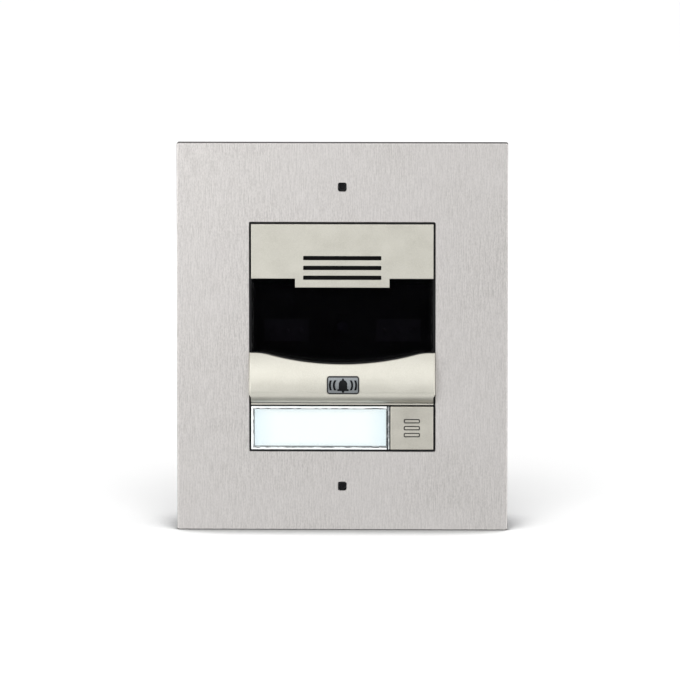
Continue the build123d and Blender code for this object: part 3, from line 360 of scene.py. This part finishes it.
def rubber(name, colour):
    """Matt moulded silicone with a soft bloom."""
    s = Surface(name, Sheen_Weight=0.25, Sheen_Roughness=0.5)
    fine = s.noise(0.12, 2.0, 0.6)
    bloom = s.noise(3.5, 3.0)
    base = s.mix(s.between(bloom, 0.35, 0.7), colour, shade(colour, 1.9))
    s.colour(s.mix(s.between(fine, 0.45, 0.75, 0.0, 0.5), base, shade(colour, 0.6)))
    s.roughness(s.total((bloom, 0.2), (1.0, 0.6)))
    s.bump(fine, 0.01)
    return s.material


def foam(name):
    """Closed-cell foam: open pores of two sizes in a dull skin."""
    s = Surface(name, Specular_IOR_Level=0.3)
    pores = s.between(s.cells(0.45), 0.15, 0.5)
    large = s.between(s.cells(1.3), 0.1, 0.32)
    skin = s.noise(5.0, 3.0)
    relief = s.math("MULTIPLY", pores, large)
    base = s.mix(relief, (0.003, 0.003, 0.0035), (0.014, 0.0145, 0.015))
    s.colour(s.mix(s.between(skin, 0.3, 0.7, 0.0, 0.4), base, (0.02, 0.02, 0.021)))
    s.roughness(s.total((skin, 0.1), (1.0, 0.82)))
    s.bump(relief, 0.08)
    return s.material


def woven(name):
    """Acoustic cloth: a plain weave of black threads."""
    s = Surface(name, Specular_IOR_Level=0.2)
    pitch = 0.36
    across = s.ridges(s.axis("X"), pitch)
    along = s.ridges(s.axis("Z"), pitch)
    left = s.math("SUBTRACT", s.ridges(s.axis("X"), 2 * pitch), 0.5)
    up = s.math("SUBTRACT", s.ridges(s.axis("Z"), 2 * pitch), 0.5)
    over = s.math("GREATER_THAN", s.math("MULTIPLY", left, up), 0.0)
    weave = s.pick(over, across, along)
    lint = s.noise(0.9, 3.0)
    base = s.mix(weave, (0.001, 0.001, 0.001), (0.008, 0.008, 0.008))
    s.colour(s.mix(s.between(lint, 0.5, 0.8, 0.0, 0.2), base, (0.03, 0.03, 0.03)))
    s.roughness(s.total((weave, 0.1), (1.0, 0.7)))
    s.bump(weave, 0.08)
    return s.material


# ---- the front's clear and lit parts ----
# The name tag cover's painted shade marks and clear inside (INSIDE), in millimetres: bands inwards
# from its outline or its right end, and for each clip its distance from the end and half its length.
SHADE_LINE = (0.66, 1.08)
CLIP_SHADE_BAND = (0.62, 1.16)
END_STEP_SHADE = (0.42, 1.1)
END_SHADE_STREAK = (-0.1, 0.5)
LEFT_CLIP, LEFT_CLIP_HALF = 2.7, 0.55
RIGHT_CLIP, RIGHT_CLIP_HALF = 5.4, 1.2
INSIDE = (1.0, 1.12)


def smoked_window(name):
    """Polished smoked plastic, dark enough to hide all but a hint of what is behind."""
    s = Surface(name, Alpha=0.70, Specular_IOR_Level=0.3, IOR=1.5)
    smudge = s.noise((16.0, 16.0, 9.0), 4.0, 0.6)
    dust = s.between(s.cells(2.6), 0.045, 0.02)
    base = s.mix(s.between(smudge, 0.4, 0.7), (0.0004, 0.0004, 0.0006), (0.0010, 0.0010, 0.0014))
    s.colour(s.mix(s.math("MULTIPLY", dust, 0.03), base, (0.2, 0.2, 0.2)))
    s.roughness(s.total((s.between(smudge, 0.5, 0.75), 0.05), (1.0, 0.035)))
    s.bump(smudge, 0.004)
    return s.material


def tag_cover(name):
    """Clear polycarbonate: its thick rim is painted near-white for the light it pipes. Painted shade
    draws a broken dark line where the wall ends, a darker step and streaks at the right end, short dark
    marks at the clips near the corners, and the walls behind the plate's face."""
    lo, hi = box_mm("name_tag_cover")
    s = Surface(name, IOR=1.58, Specular_IOR_Level=0.5)
    x, z = s.axis("X"), s.axis("Z")
    from_side = s.math("SUBTRACT", (hi.x - lo.x) / 2, s.distance(x, (lo.x + hi.x) / 2))
    from_edge = s.math("SUBTRACT", (hi.z - lo.z) / 2, s.distance(z, (lo.z + hi.z) / 2))
    from_end = s.math("SUBTRACT", hi.x, x)
    wander = s.noise((3.0, 3.0, 1.2), 3.0)
    breaks = s.noise((3.2, 3.2, 2.4), 2.0)
    nearest = s.math("MINIMUM", from_side, from_edge)
    inset = s.math("ADD", nearest, s.total((wander, 0.2), (1.0, -0.1)))
    # Painted shade: a broken dark line where the cover's wall ends.
    line = s.band(inset, *SHADE_LINE, 0.12)
    faint = s.between(breaks, 0.36, 0.62, 0.45, 0.95)
    # Painted shade: a darker step near the right end, and dark streaks at the end itself.
    step_shade = s.band(from_end, *END_STEP_SHADE, 0.1)
    broken_step_shade = s.math("MULTIPLY", step_shade, s.between(breaks, 0.3, 0.5, 0.7, 1.0))
    patches = s.between(s.noise((2.0, 2.0, 2.6), 3.0), 0.36, 0.56, 1.0, 0.5)
    shade_streak = s.math("MULTIPLY", s.band(from_end, *END_SHADE_STREAK, 0.15), patches)
    # Painted shade: short dark marks at the clips.
    left_clip_shade = s.between(s.distance(x, lo.x + LEFT_CLIP), LEFT_CLIP_HALF + 0.25, LEFT_CLIP_HALF)
    right_clip_shade = s.between(s.distance(x, hi.x - RIGHT_CLIP), RIGHT_CLIP_HALF + 0.3, RIGHT_CLIP_HALF)
    clip_shade = s.math("MULTIPLY", s.math("ADD", left_clip_shade, right_clip_shade), s.band(from_edge, *CLIP_SHADE_BAND, 0.1))
    dark = s.math("MAXIMUM", s.math("MULTIPLY", line, faint), broken_step_shade)
    dark = s.math("MAXIMUM", dark, clip_shade)
    dark = s.math("MAXIMUM", dark, s.math("MULTIPLY", shade_streak, 0.8))
    inside = s.between(inset, *INSIDE)
    # Painted shade: the cover's walls behind the plate's face are painted dark.
    wall = s.math("MULTIPLY", shaded_recess("front_plate", 0.1)(s), s.math("SUBTRACT", 1.0, inside))
    dark = s.math("MAXIMUM", dark, wall)
    # Painted light: the rim is painted near-white for the light it pipes.
    rim = s.mix(s.between(wander, 0.35, 0.7), (0.84, 0.9, 0.9), (0.98, 1.0, 1.0))
    base = s.mix(dark, rim, (0.05, 0.055, 0.06))
    s.colour(s.mix(s.math("MULTIPLY", inside, s.math("SUBTRACT", 1.0, step_shade)), base, (0.9, 0.97, 0.97)))
    clear = s.math("MULTIPLY", inside, s.math("SUBTRACT", 1.0, dark))
    s.put(s.shader.inputs["Alpha"], s.between(clear, 0.0, 1.0, 0.95, 0.07))
    scratch = s.noise((5.0, 5.0, 0.15), 3.0, 0.7)
    s.roughness(s.total((s.between(scratch, 0.5, 0.8), 0.12), (1.0, 0.04)))
    s.bump(scratch, 0.002)
    return s.material


def lit_card(name):
    """Backlit paper: fibres, and light that cools and fades towards the ends."""
    lo, hi = box_mm("name_card")
    s = Surface(name, Roughness=0.7, Emission_Strength=1.0)
    off_x = s.math("DIVIDE", s.distance(s.axis("X"), (lo.x + hi.x) / 2), (hi.x - lo.x) / 2)
    off_z = s.math("DIVIDE", s.distance(s.axis("Z"), (lo.z + hi.z) / 2), (hi.z - lo.z) / 2)
    to_rims = s.math("MULTIPLY", s.between(off_z, 0.7, 1.0), 0.6)
    fade = s.math("MAXIMUM", s.between(off_x, 0.62, 1.0), to_rims)
    fibre = s.noise((0.9, 0.9, 0.25), 4.0, 0.7)
    cloud = s.noise(7.0, 2.0)
    # Painted light: the card itself glows for its backlight, cooling and fading towards the ends.
    glow = s.mix(fade, (0.72, 0.75, 0.735), (0.585, 0.70, 0.74))
    mottle = s.between(s.total((fibre, 0.6), (cloud, 0.4)), 0.35, 0.65, 0.0, 0.06)
    glow = s.mix(mottle, glow, (0.8, 0.9, 0.9))
    s.colour(s.mix(s.between(fibre, 0.3, 0.7), (0.10, 0.105, 0.105), (0.13, 0.135, 0.135)))
    s.put(s.shader.inputs["Emission Color"], glow)
    s.bump(fibre, 0.01)
    return s.material


def opal(name, colour, glow, strength):
    """Milky plastic lit from inside."""
    s = Surface(name, Emission_Strength=strength)
    cloud = s.noise(5.0, 3.0)
    fine = s.noise(0.4, 2.0)
    s.colour(s.mix(s.between(fine, 0.3, 0.7), shade(colour, 0.94), colour))
    s.put(s.shader.inputs["Emission Color"], s.mix(s.between(cloud, 0.3, 0.7), shade(glow, 0.86), glow))
    s.roughness(s.total((fine, 0.12), (1.0, 0.34)))
    s.bump(fine, 0.006)
    return s.material


def lens_glass(name):
    """A coated lens: near-black, with the coating's violet to green reflection painted by facing angle.
    """
    s = Surface(name, Roughness=0.02, IOR=1.7, Coat_Weight=0.6, Coat_Roughness=0.02)
    rim = s.node("ShaderNodeLayerWeight")
    s.put(rim.inputs["Blend"], 0.35)
    film = s.noise(1.4, 2.0)
    # Painted reflection: the coating's violet to green tint changes with the facing angle.
    tint = s.mix(rim.outputs["Facing"], (0.05, 0.03, 0.12), (0.01, 0.09, 0.07))
    s.colour(s.mix(s.between(film, 0.4, 0.6, 0.0, 0.4), tint, (0.1, 0.05, 0.14)))
    s.bump(film, 0.001)
    return s.material


def smoked_diodes(name):
    """Infrared lights: black-violet boards under tinted domes."""
    s = Surface(name, Coat_Weight=0.3)
    fine = s.noise(0.3, 2.0)
    pads = s.between(s.cells(1.6), 0.16, 0.12)
    base = s.mix(s.between(fine, 0.3, 0.7), (0.10, 0.085, 0.13), (0.14, 0.12, 0.18))
    s.colour(s.mix(s.math("MULTIPLY", pads, 0.6), base, (0.5, 0.42, 0.3)))
    s.roughness(s.total((fine, 0.2), (1.0, 0.3)))
    s.bump(s.math("ADD", fine, pads), 0.01)
    return s.material


# ---- circuit boards and parts ----
def circuit_board(name):
    """Green solder resist over copper traces, with tinned holes."""
    s = Surface(name, Coat_Weight=0.3, Coat_Roughness=0.2)
    lanes = s.between(s.ridges(s.axis("X"), 1.27), 0.62, 0.8)
    rungs = s.between(s.ridges(s.axis("Z"), 1.8), 0.7, 0.86)
    where = s.cells(9.0, output="Color")
    lines = s.pick(s.between(where, 0.42, 0.5), lanes, rungs)
    trace = s.math("MULTIPLY", lines, s.between(s.noise(6.0, 1.0), 0.4, 0.46))
    hole = s.between(s.cells(3.1), 0.16, 0.13)
    fine = s.noise(0.35, 2.0)
    base = s.mix(s.between(fine, 0.3, 0.7), (0.010, 0.085, 0.045), (0.016, 0.115, 0.06))
    base = s.mix(s.math("MULTIPLY", trace, 0.75), base, (0.035, 0.22, 0.10))
    s.colour(s.mix(hole, base, (0.62, 0.6, 0.55)))
    s.put(s.shader.inputs["Metallic"], hole)
    s.roughness(s.total((fine, 0.12), (hole, -0.1), (1.0, 0.32)))
    s.bump(s.total((trace, 0.8), (fine, 0.1), (hole, 0.5)), 0.04)
    return s.material


def taped_coil(name):
    """Transformers: amber tape over windings, with the dark core showing at both sides."""
    s = Surface(name, Coat_Weight=0.4)
    turns = s.ridges(s.axis("Z"), 0.32)
    lap = s.between(s.ridges(s.axis("Y"), 3.4), 0.46, 0.54)
    crease = s.noise((0.5, 3.0, 3.0), 3.0)
    core = s.between(s.math("ABSOLUTE", s.facing("X")), 0.8, 0.95)
    tape = s.mix(lap, (0.55, 0.36, 0.06), (0.68, 0.48, 0.10))
    tape = s.mix(s.math("MULTIPLY", turns, 0.3), tape, (0.42, 0.22, 0.05))
    s.colour(s.mix(s.math("MULTIPLY", core, 0.85), tape, (0.035, 0.035, 0.038)))
    s.roughness(s.total((crease, 0.25), (1.0, 0.25)))
    s.bump(s.total((turns, 0.4), (crease, 0.6), (lap, 0.5)), 0.05)
    return s.material


def formed_film(name):
    """The loudspeaker's cone: dark film with ribs pressed across it."""
    s = Surface(name, Coat_Weight=0.15)
    ribs = s.ridges(s.math("ADD", s.axis("X"), s.axis("Z")), 1.5)
    fine = s.noise(0.3, 2.0)
    s.colour(s.mix(s.between(fine, 0.3, 0.7), (0.05, 0.05, 0.055), (0.085, 0.085, 0.09)))
    s.roughness(s.total((fine, 0.2), (1.0, 0.35)))
    s.bump(s.total((ribs, 0.9), (fine, 0.1)), 0.12)
    return s.material


def shaded_recess(node, depth):
    """Everything that lies deeper than a depth behind a node's front, for painting it near-black as
    shade.
    """
    front = box_mm(node)[0].y
    return lambda s: s.between(s.axis("Y"), front + depth, front + depth + 0.12)


# The painted shadow line's two heights above the nose's foot, and the badge's frame, in millimetres.
FOOT_SHADOW_LINE = (0.75, 1.2)
FRAME_OUTER, FRAME_INNER = 0.5, 0.62
FRAME_CORNER = 0.42


def nose_painted_shade(s):
    """Painted shade: the shelf between the nose's upper rim and the window, and all behind the plate's
    face, are painted near-black, and a thin painted shadow line runs above the narrow rim at its foot."""
    foot = box_mm("nose_cover")[0].z
    line = s.math("MULTIPLY", s.band(s.axis("Z"), foot + FOOT_SHADOW_LINE[0], foot + FOOT_SHADOW_LINE[1], 0.15), 0.92)
    shelf_shade = s.math("MAXIMUM", s.between(s.facing("Z"), 0.93, 0.985), shaded_recess("front_plate", 0.1)(s))
    return s.math("MAXIMUM", line, shelf_shade)


def badge_frame(s):
    """A dark line round the badge, just inside its outline."""
    lo, hi = box_mm("badge")
    side = s.math("SUBTRACT", (hi.x - lo.x) / 2, s.distance(s.axis("X"), (lo.x + hi.x) / 2))
    edge = s.math("SUBTRACT", (hi.z - lo.z) / 2, s.distance(s.axis("Z"), (lo.z + hi.z) / 2))
    # The corner term makes the line follow the rounded corners.
    corner = s.math("MULTIPLY", s.math("ADD", side, edge), math.sqrt(0.5))
    inset = s.math("MINIMUM", s.math("MINIMUM", side, edge), s.math("SUBTRACT", corner, FRAME_CORNER))
    return s.between(inset, FRAME_INNER, FRAME_OUTER)


screw_lo, screw_hi = box_mm("fixing_screws")
SCREW_HEAD = 2.0

MATERIALS = {
    "frame_steel": brushed_steel("brushed_steel"),
    "screw_black": threaded("black_screw", (0.03, 0.03, 0.033), 0.42, 0.7,
                            screw_lo.y + SCREW_HEAD, screw_hi.y, (0.16, 0.16, 0.17)),
    "zinc_steel": plated_metal("zinc_plating", (0.60, 0.62, 0.65), 0.34),
    "brass": plated_metal("turned_brass", (0.72, 0.52, 0.22), 0.3, 1.6, (0.86, 0.68, 0.36)),
    "gold": plated_metal("gold_flash", (0.86, 0.62, 0.24), 0.26, 1.2, (0.95, 0.78, 0.4)),
    "foam": foam("closed_cell_foam"),
    "silicone": rubber("silicone", (0.022, 0.022, 0.024)),
    "black_plastic": moulded("black_plastic", (0.014, 0.014, 0.0155), 0.5),
    "box_plastic": moulded("box_plastic", (0.06, 0.064, 0.07), 0.58, 0.45, 0.03),
    # Painted shade: the cover's parts behind the plate's face are painted near-black.
    "cover_metal": blasted_metal("warm_satin_metal", (0.675, 0.66, 0.593), (0.58, 0.565, 0.497), 0.46,
                                 black=shaded_recess("front_plate", 0.1)),
    "badge_metal": blasted_metal("badge_grey", (0.33, 0.35, 0.365), (0.2, 0.215, 0.225), 0.4, 0.12,
                                 badge_frame),
    "emblem_metal": blasted_metal("emblem_dark", (0.022, 0.023, 0.025), (0.010, 0.011, 0.012), 0.34, 0.1),
    "smoked": smoked_window("smoked_window"),
    "clear": tag_cover("clear_cover"),
    "card": lit_card("lit_card"),
    "diffuser": opal("light_guide", (0.85, 0.88, 0.88), (0.86, 0.97, 1.0), 0.75),
    "led_white": opal("white_diode", (0.9, 0.85, 0.5), (1.0, 0.95, 0.85), 2.0),
    "led_clear": smoked_diodes("smoked_diodes"),
    "board_green": circuit_board("circuit_board"),
    "chip": moulded("moulded_epoxy", (0.028, 0.028, 0.031), 0.55, 0.1, 0.006),
    "relay_blue": moulded("relay_case", (0.03, 0.075, 0.26), 0.28, 0.6, 0.008, 1.5),
    "copper_tape": taped_coil("taped_windings"),
    "can": capacitor_can("capacitor_can"),
    "jack": moulded("jack_plastic", (0.03, 0.03, 0.033), 0.3, 0.4, 0.006),
    "terminal_green": moulded("terminal_green", (0.03, 0.24, 0.10), 0.42, 0.3, 0.01, 1.5),
    "button_red": moulded("reset_red", (0.45, 0.03, 0.025), 0.32, 0.3, 0.006, 1.4),
    "spring_steel": drawn_wire("spring_wire", (0.7, 0.7, 0.71), 0.2, "Y", 0.19, (0.4, 0.4, 0.41)),
    "glass": lens_glass("coated_lens"),
    "basket": blasted_metal("stamped_basket", (0.13, 0.13, 0.135), (0.09, 0.09, 0.095), 0.42, 0.3),
    "mesh": woven("acoustic_cloth"),
    "cone": formed_film("cone_film"),
    "coil": drawn_wire("enamelled_copper", (0.66, 0.33, 0.16), 0.25, "Y", 0.16, (0.2, 0.08, 0.04)),
    "lead_red": moulded("wire_insulation", (0.33, 0.025, 0.022), 0.4, 0.5, 0.006, 1.4),
    "mic_can": plated_metal("stamped_can", (0.62, 0.63, 0.64), 0.3, 1.4),
}


def dress(node, material):
    """Puts a material on every slot of a CAD node's object."""
    obj = NODES[node]
    if not obj.material_slots:
        obj.data.materials.append(material)
    for slot in obj.material_slots:
        slot.link = "OBJECT"
        slot.material = material


for part in frame["record"]["subparts"]:
    dress(part["node"], MATERIALS[part["material_slot"]])
# Painted shade: the call button's recesses are painted near-black.
dress("call_button", blasted_metal("button_metal", (0.69, 0.67, 0.60), (0.575, 0.555, 0.49), 0.42,
                                   black=shaded_recess("call_button", 0.2)))
# Painted shade: the nose's shelf, its parts behind the plate and a line at its foot are painted dark.
dress("nose_cover", blasted_metal("nose_metal", (0.70, 0.685, 0.615), (0.60, 0.585, 0.515), 0.46,
                                  black=nose_painted_shade))


# ---- the tamper switch's spring, copied to a mesh of its own on the panel ----
def tamper_coil():
    node = NODES["tamper_spring"]
    coil = bpy.data.objects.new("tamper_coil", node.data.copy())
    coil.matrix_world = node.matrix_world.copy()
    bpy.context.scene.collection.objects.link(coil)
    for slot in coil.material_slots:
        slot.link = "OBJECT"
        slot.material = MATERIALS["spring_steel"]
    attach(coil, "panel")
    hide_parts("tamper_spring")
    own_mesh(coil)


tamper_coil()


# ---- floor ----
FLOOR_SIZE = 12.0
CONTACT_REACH = 0.04         # how far the object's contact shadow reaches, in metres
LIFT_FROM, LIFT_TO = 250.0, 1200.0   # where the floor starts and ends to brighten, in millimetres


def paper_floor(size):
    """A large sheet under the object, laid as a grid of faces."""
    level = CAD_BOX[0].z
    steps = 8
    at = [(i / steps - 0.5) * size for i in range(steps + 1)]
    points = [(x, y, level) for y in at for x in at]
    row = steps + 1
    faces = [(j * row + i, j * row + i + 1, (j + 1) * row + i + 1, (j + 1) * row + i)
             for j in range(steps) for i in range(steps)]
    mesh = bpy.data.meshes.new("floor")
    mesh.from_pydata(points, [], faces)
    floor = bpy.data.objects.new("floor", mesh)
    bpy.context.scene.collection.objects.link(floor)
    s = Surface("white_paper", Specular_IOR_Level=0.2, Emission_Color=(1.0, 1.0, 1.0))
    fibre = s.noise(1.6, 3.0)
    tone = s.mix(s.between(fibre, 0.3, 0.7), (0.9, 0.9, 0.9), (0.93, 0.93, 0.93))
    # Painted contact shadow: the floor's colour and glow darken where the object is near.
    contact_shadow = s.node("ShaderNodeAmbientOcclusion", samples=12)
    s.put(contact_shadow.inputs["Distance"], CONTACT_REACH)
    open_share = s.between(contact_shadow.outputs["AO"], 0.45, 0.85)
    s.colour(s.mix(open_share, (0.25, 0.25, 0.25), tone))
    lift = s.between(s.vector("LENGTH", s.mm), LIFT_FROM, LIFT_TO, 0.09, 0.42)
    s.put(s.shader.inputs["Emission Strength"], s.math("MULTIPLY", open_share, lift))
    s.roughness(s.total((fibre, 0.1), (1.0, 0.8)))
    s.bump(fibre, 0.02)
    mesh.materials.append(s.material)
    floor.visible_glossy = False


paper_floor(FLOOR_SIZE)


# ---- lights ----
def direction(azimuth, elevation):
    """The unit vector towards a place round the object, as the camera's angles count."""
    a, e = math.radians(azimuth), math.radians(elevation)
    return Vector((math.sin(a) * math.cos(e), -math.cos(a) * math.cos(e), math.sin(e)))


def aim(obj, place, target):
    obj.location = place
    obj.rotation_mode = "QUATERNION"
    obj.rotation_quaternion = (target - place).to_track_quat("-Z", "Y")


def softbox(name, azimuth, elevation, distance, width, height, watts,
            tint=(1.0, 1.0, 1.0), in_metal=True):
    """An area light aimed at the object. Without in_metal it isn't mirrored by glossy surfaces."""
    lamp = bpy.data.lights.new(name, "AREA")
    lamp.shape = "RECTANGLE"
    lamp.size, lamp.size_y = width, height
    lamp.energy = watts
    lamp.color = tint
    obj = bpy.data.objects.new(name, lamp)
    bpy.context.scene.collection.objects.link(obj)
    obj.visible_glossy = in_metal
    aim(obj, direction(azimuth, elevation) * distance, Vector((0, 0, 0)))


softbox("key_left", -28, 12, 0.6, 0.3, 0.3, 0.5, (1.0, 0.995, 0.99))
softbox("top", 10, 75, 1.4, 1.0, 1.0, 2.0)
softbox("edge_right", 78, 8, 1.2, 0.8, 0.9, 1.6)
softbox("edge_left", -80, 8, 1.2, 0.7, 0.9, 0.8)
softbox("shadow_maker", 0, 47, 1.5, 0.8, 0.6, 12, in_metal=False)
softbox("back", 165, 35, 1.8, 1.0, 1.0, 3, in_metal=False)


# Each ramp is a row of (place from 0 to 1, level of light): TENT by height, from straight down to
# straight up, AHEAD and BEHIND by closeness to straight ahead of the object and straight behind it.
TENT = ((0.0, 0.25), (0.1, 0.6), (0.2, 0.86), (0.29, 1.08), (0.5, 1.0), (0.7, 1.0), (1.0, 0.8))
AHEAD = ((0.0, 0.75), (0.5, 0.9), (0.82, 1.46), (0.94, 1.36), (0.98, 0.02), (1.0, 0.02))
BEHIND = ((0.0, 1.0), (0.5, 1.0), (0.9, 0.04), (1.0, 0.04))
AHEAD_DIP = 5.0
CAMERA_WHITE = 1.05


def studio_world():
    """White to the camera; to everything else a soft tent that is dark straight ahead of the
    object and darker below."""
    world = bpy.data.worlds.new("studio")
    bpy.context.scene.world = world
    world.use_nodes = True
    tree = world.node_tree
    tree.nodes.clear()

    def node(kind, **settings):
        made = tree.nodes.new(kind)
        for key, value in settings.items():
            setattr(made, key, value)
        return made

    def ramp(source, stops):
        made = node("ShaderNodeValToRGB")
        made.color_ramp.interpolation = "EASE"
        points = made.color_ramp.elements
        while len(points) < len(stops):
            points.new(0.5)
        for point, (place, level) in zip(points, stops):
            point.position = place
            point.color = (level, level, level, 1.0)
        tree.links.new(source, made.inputs[0])
        return made.outputs["Color"]

    def product(a, b):
        made = node("ShaderNodeMix", data_type="RGBA", blend_type="MULTIPLY")
        made.inputs["Factor"].default_value = 1.0
        tree.links.new(a, made.inputs[6])
        tree.links.new(b, made.inputs[7])
        return made.outputs[2]

    towards = node("ShaderNodeTexCoord").outputs["Generated"]
    split = node("ShaderNodeSeparateXYZ")
    tree.links.new(towards, split.inputs[0])
    height = node("ShaderNodeMath", operation="MULTIPLY_ADD")
    tree.links.new(split.outputs["Z"], height.inputs[0])
    height.inputs[1].default_value = 0.5
    height.inputs[2].default_value = 0.5
    tent = ramp(height.outputs[0], TENT)
    ahead = node("ShaderNodeVectorMath", operation="DOT_PRODUCT")
    tree.links.new(towards, ahead.inputs[0])
    ahead.inputs[1].default_value = direction(-AZIMUTH, -ELEVATION - AHEAD_DIP)
    cone = ramp(ahead.outputs["Value"], AHEAD)
    behind = node("ShaderNodeVectorMath", operation="DOT_PRODUCT")
    tree.links.new(towards, behind.inputs[0])
    behind.inputs[1].default_value = direction(180, ELEVATION)
    wall = ramp(behind.outputs["Value"], BEHIND)
    soft, white = node("ShaderNodeBackground"), node("ShaderNodeBackground")
    tree.links.new(product(product(tent, cone), wall), soft.inputs["Color"])
    path = node("ShaderNodeLightPath")
    choose = node("ShaderNodeMixShader")
    tree.links.new(path.outputs["Is Camera Ray"], choose.inputs[0])
    tree.links.new(soft.outputs[0], choose.inputs[1])
    tree.links.new(white.outputs[0], choose.inputs[2])
    white.inputs["Color"].default_value = (1.0, 1.0, 1.0, 1.0)
    white.inputs["Strength"].default_value = CAMERA_WHITE
    out = node("ShaderNodeOutputWorld")
    tree.links.new(choose.outputs[0], out.inputs["Surface"])


studio_world()


# ---- camera ----
def camera():
    data = bpy.data.cameras.new("camera")
    data.sensor_width = SENSOR
    data.lens = SENSOR * DISTANCE / VIEW_WIDTH
    data.clip_start, data.clip_end = 0.1, 50.0
    obj = bpy.data.objects.new("camera", data)
    bpy.context.scene.collection.objects.link(obj)
    lo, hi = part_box("front_plate")
    target = (lo + hi) / 2 + Vector((AIM_SHIFT_X, 0.0, AIM_SHIFT_Z))
    aim(obj, target + direction(AZIMUTH, ELEVATION) * DISTANCE, target)
    bpy.context.scene.camera = obj


camera()
bpy.context.scene.view_settings.view_transform = "Standard"
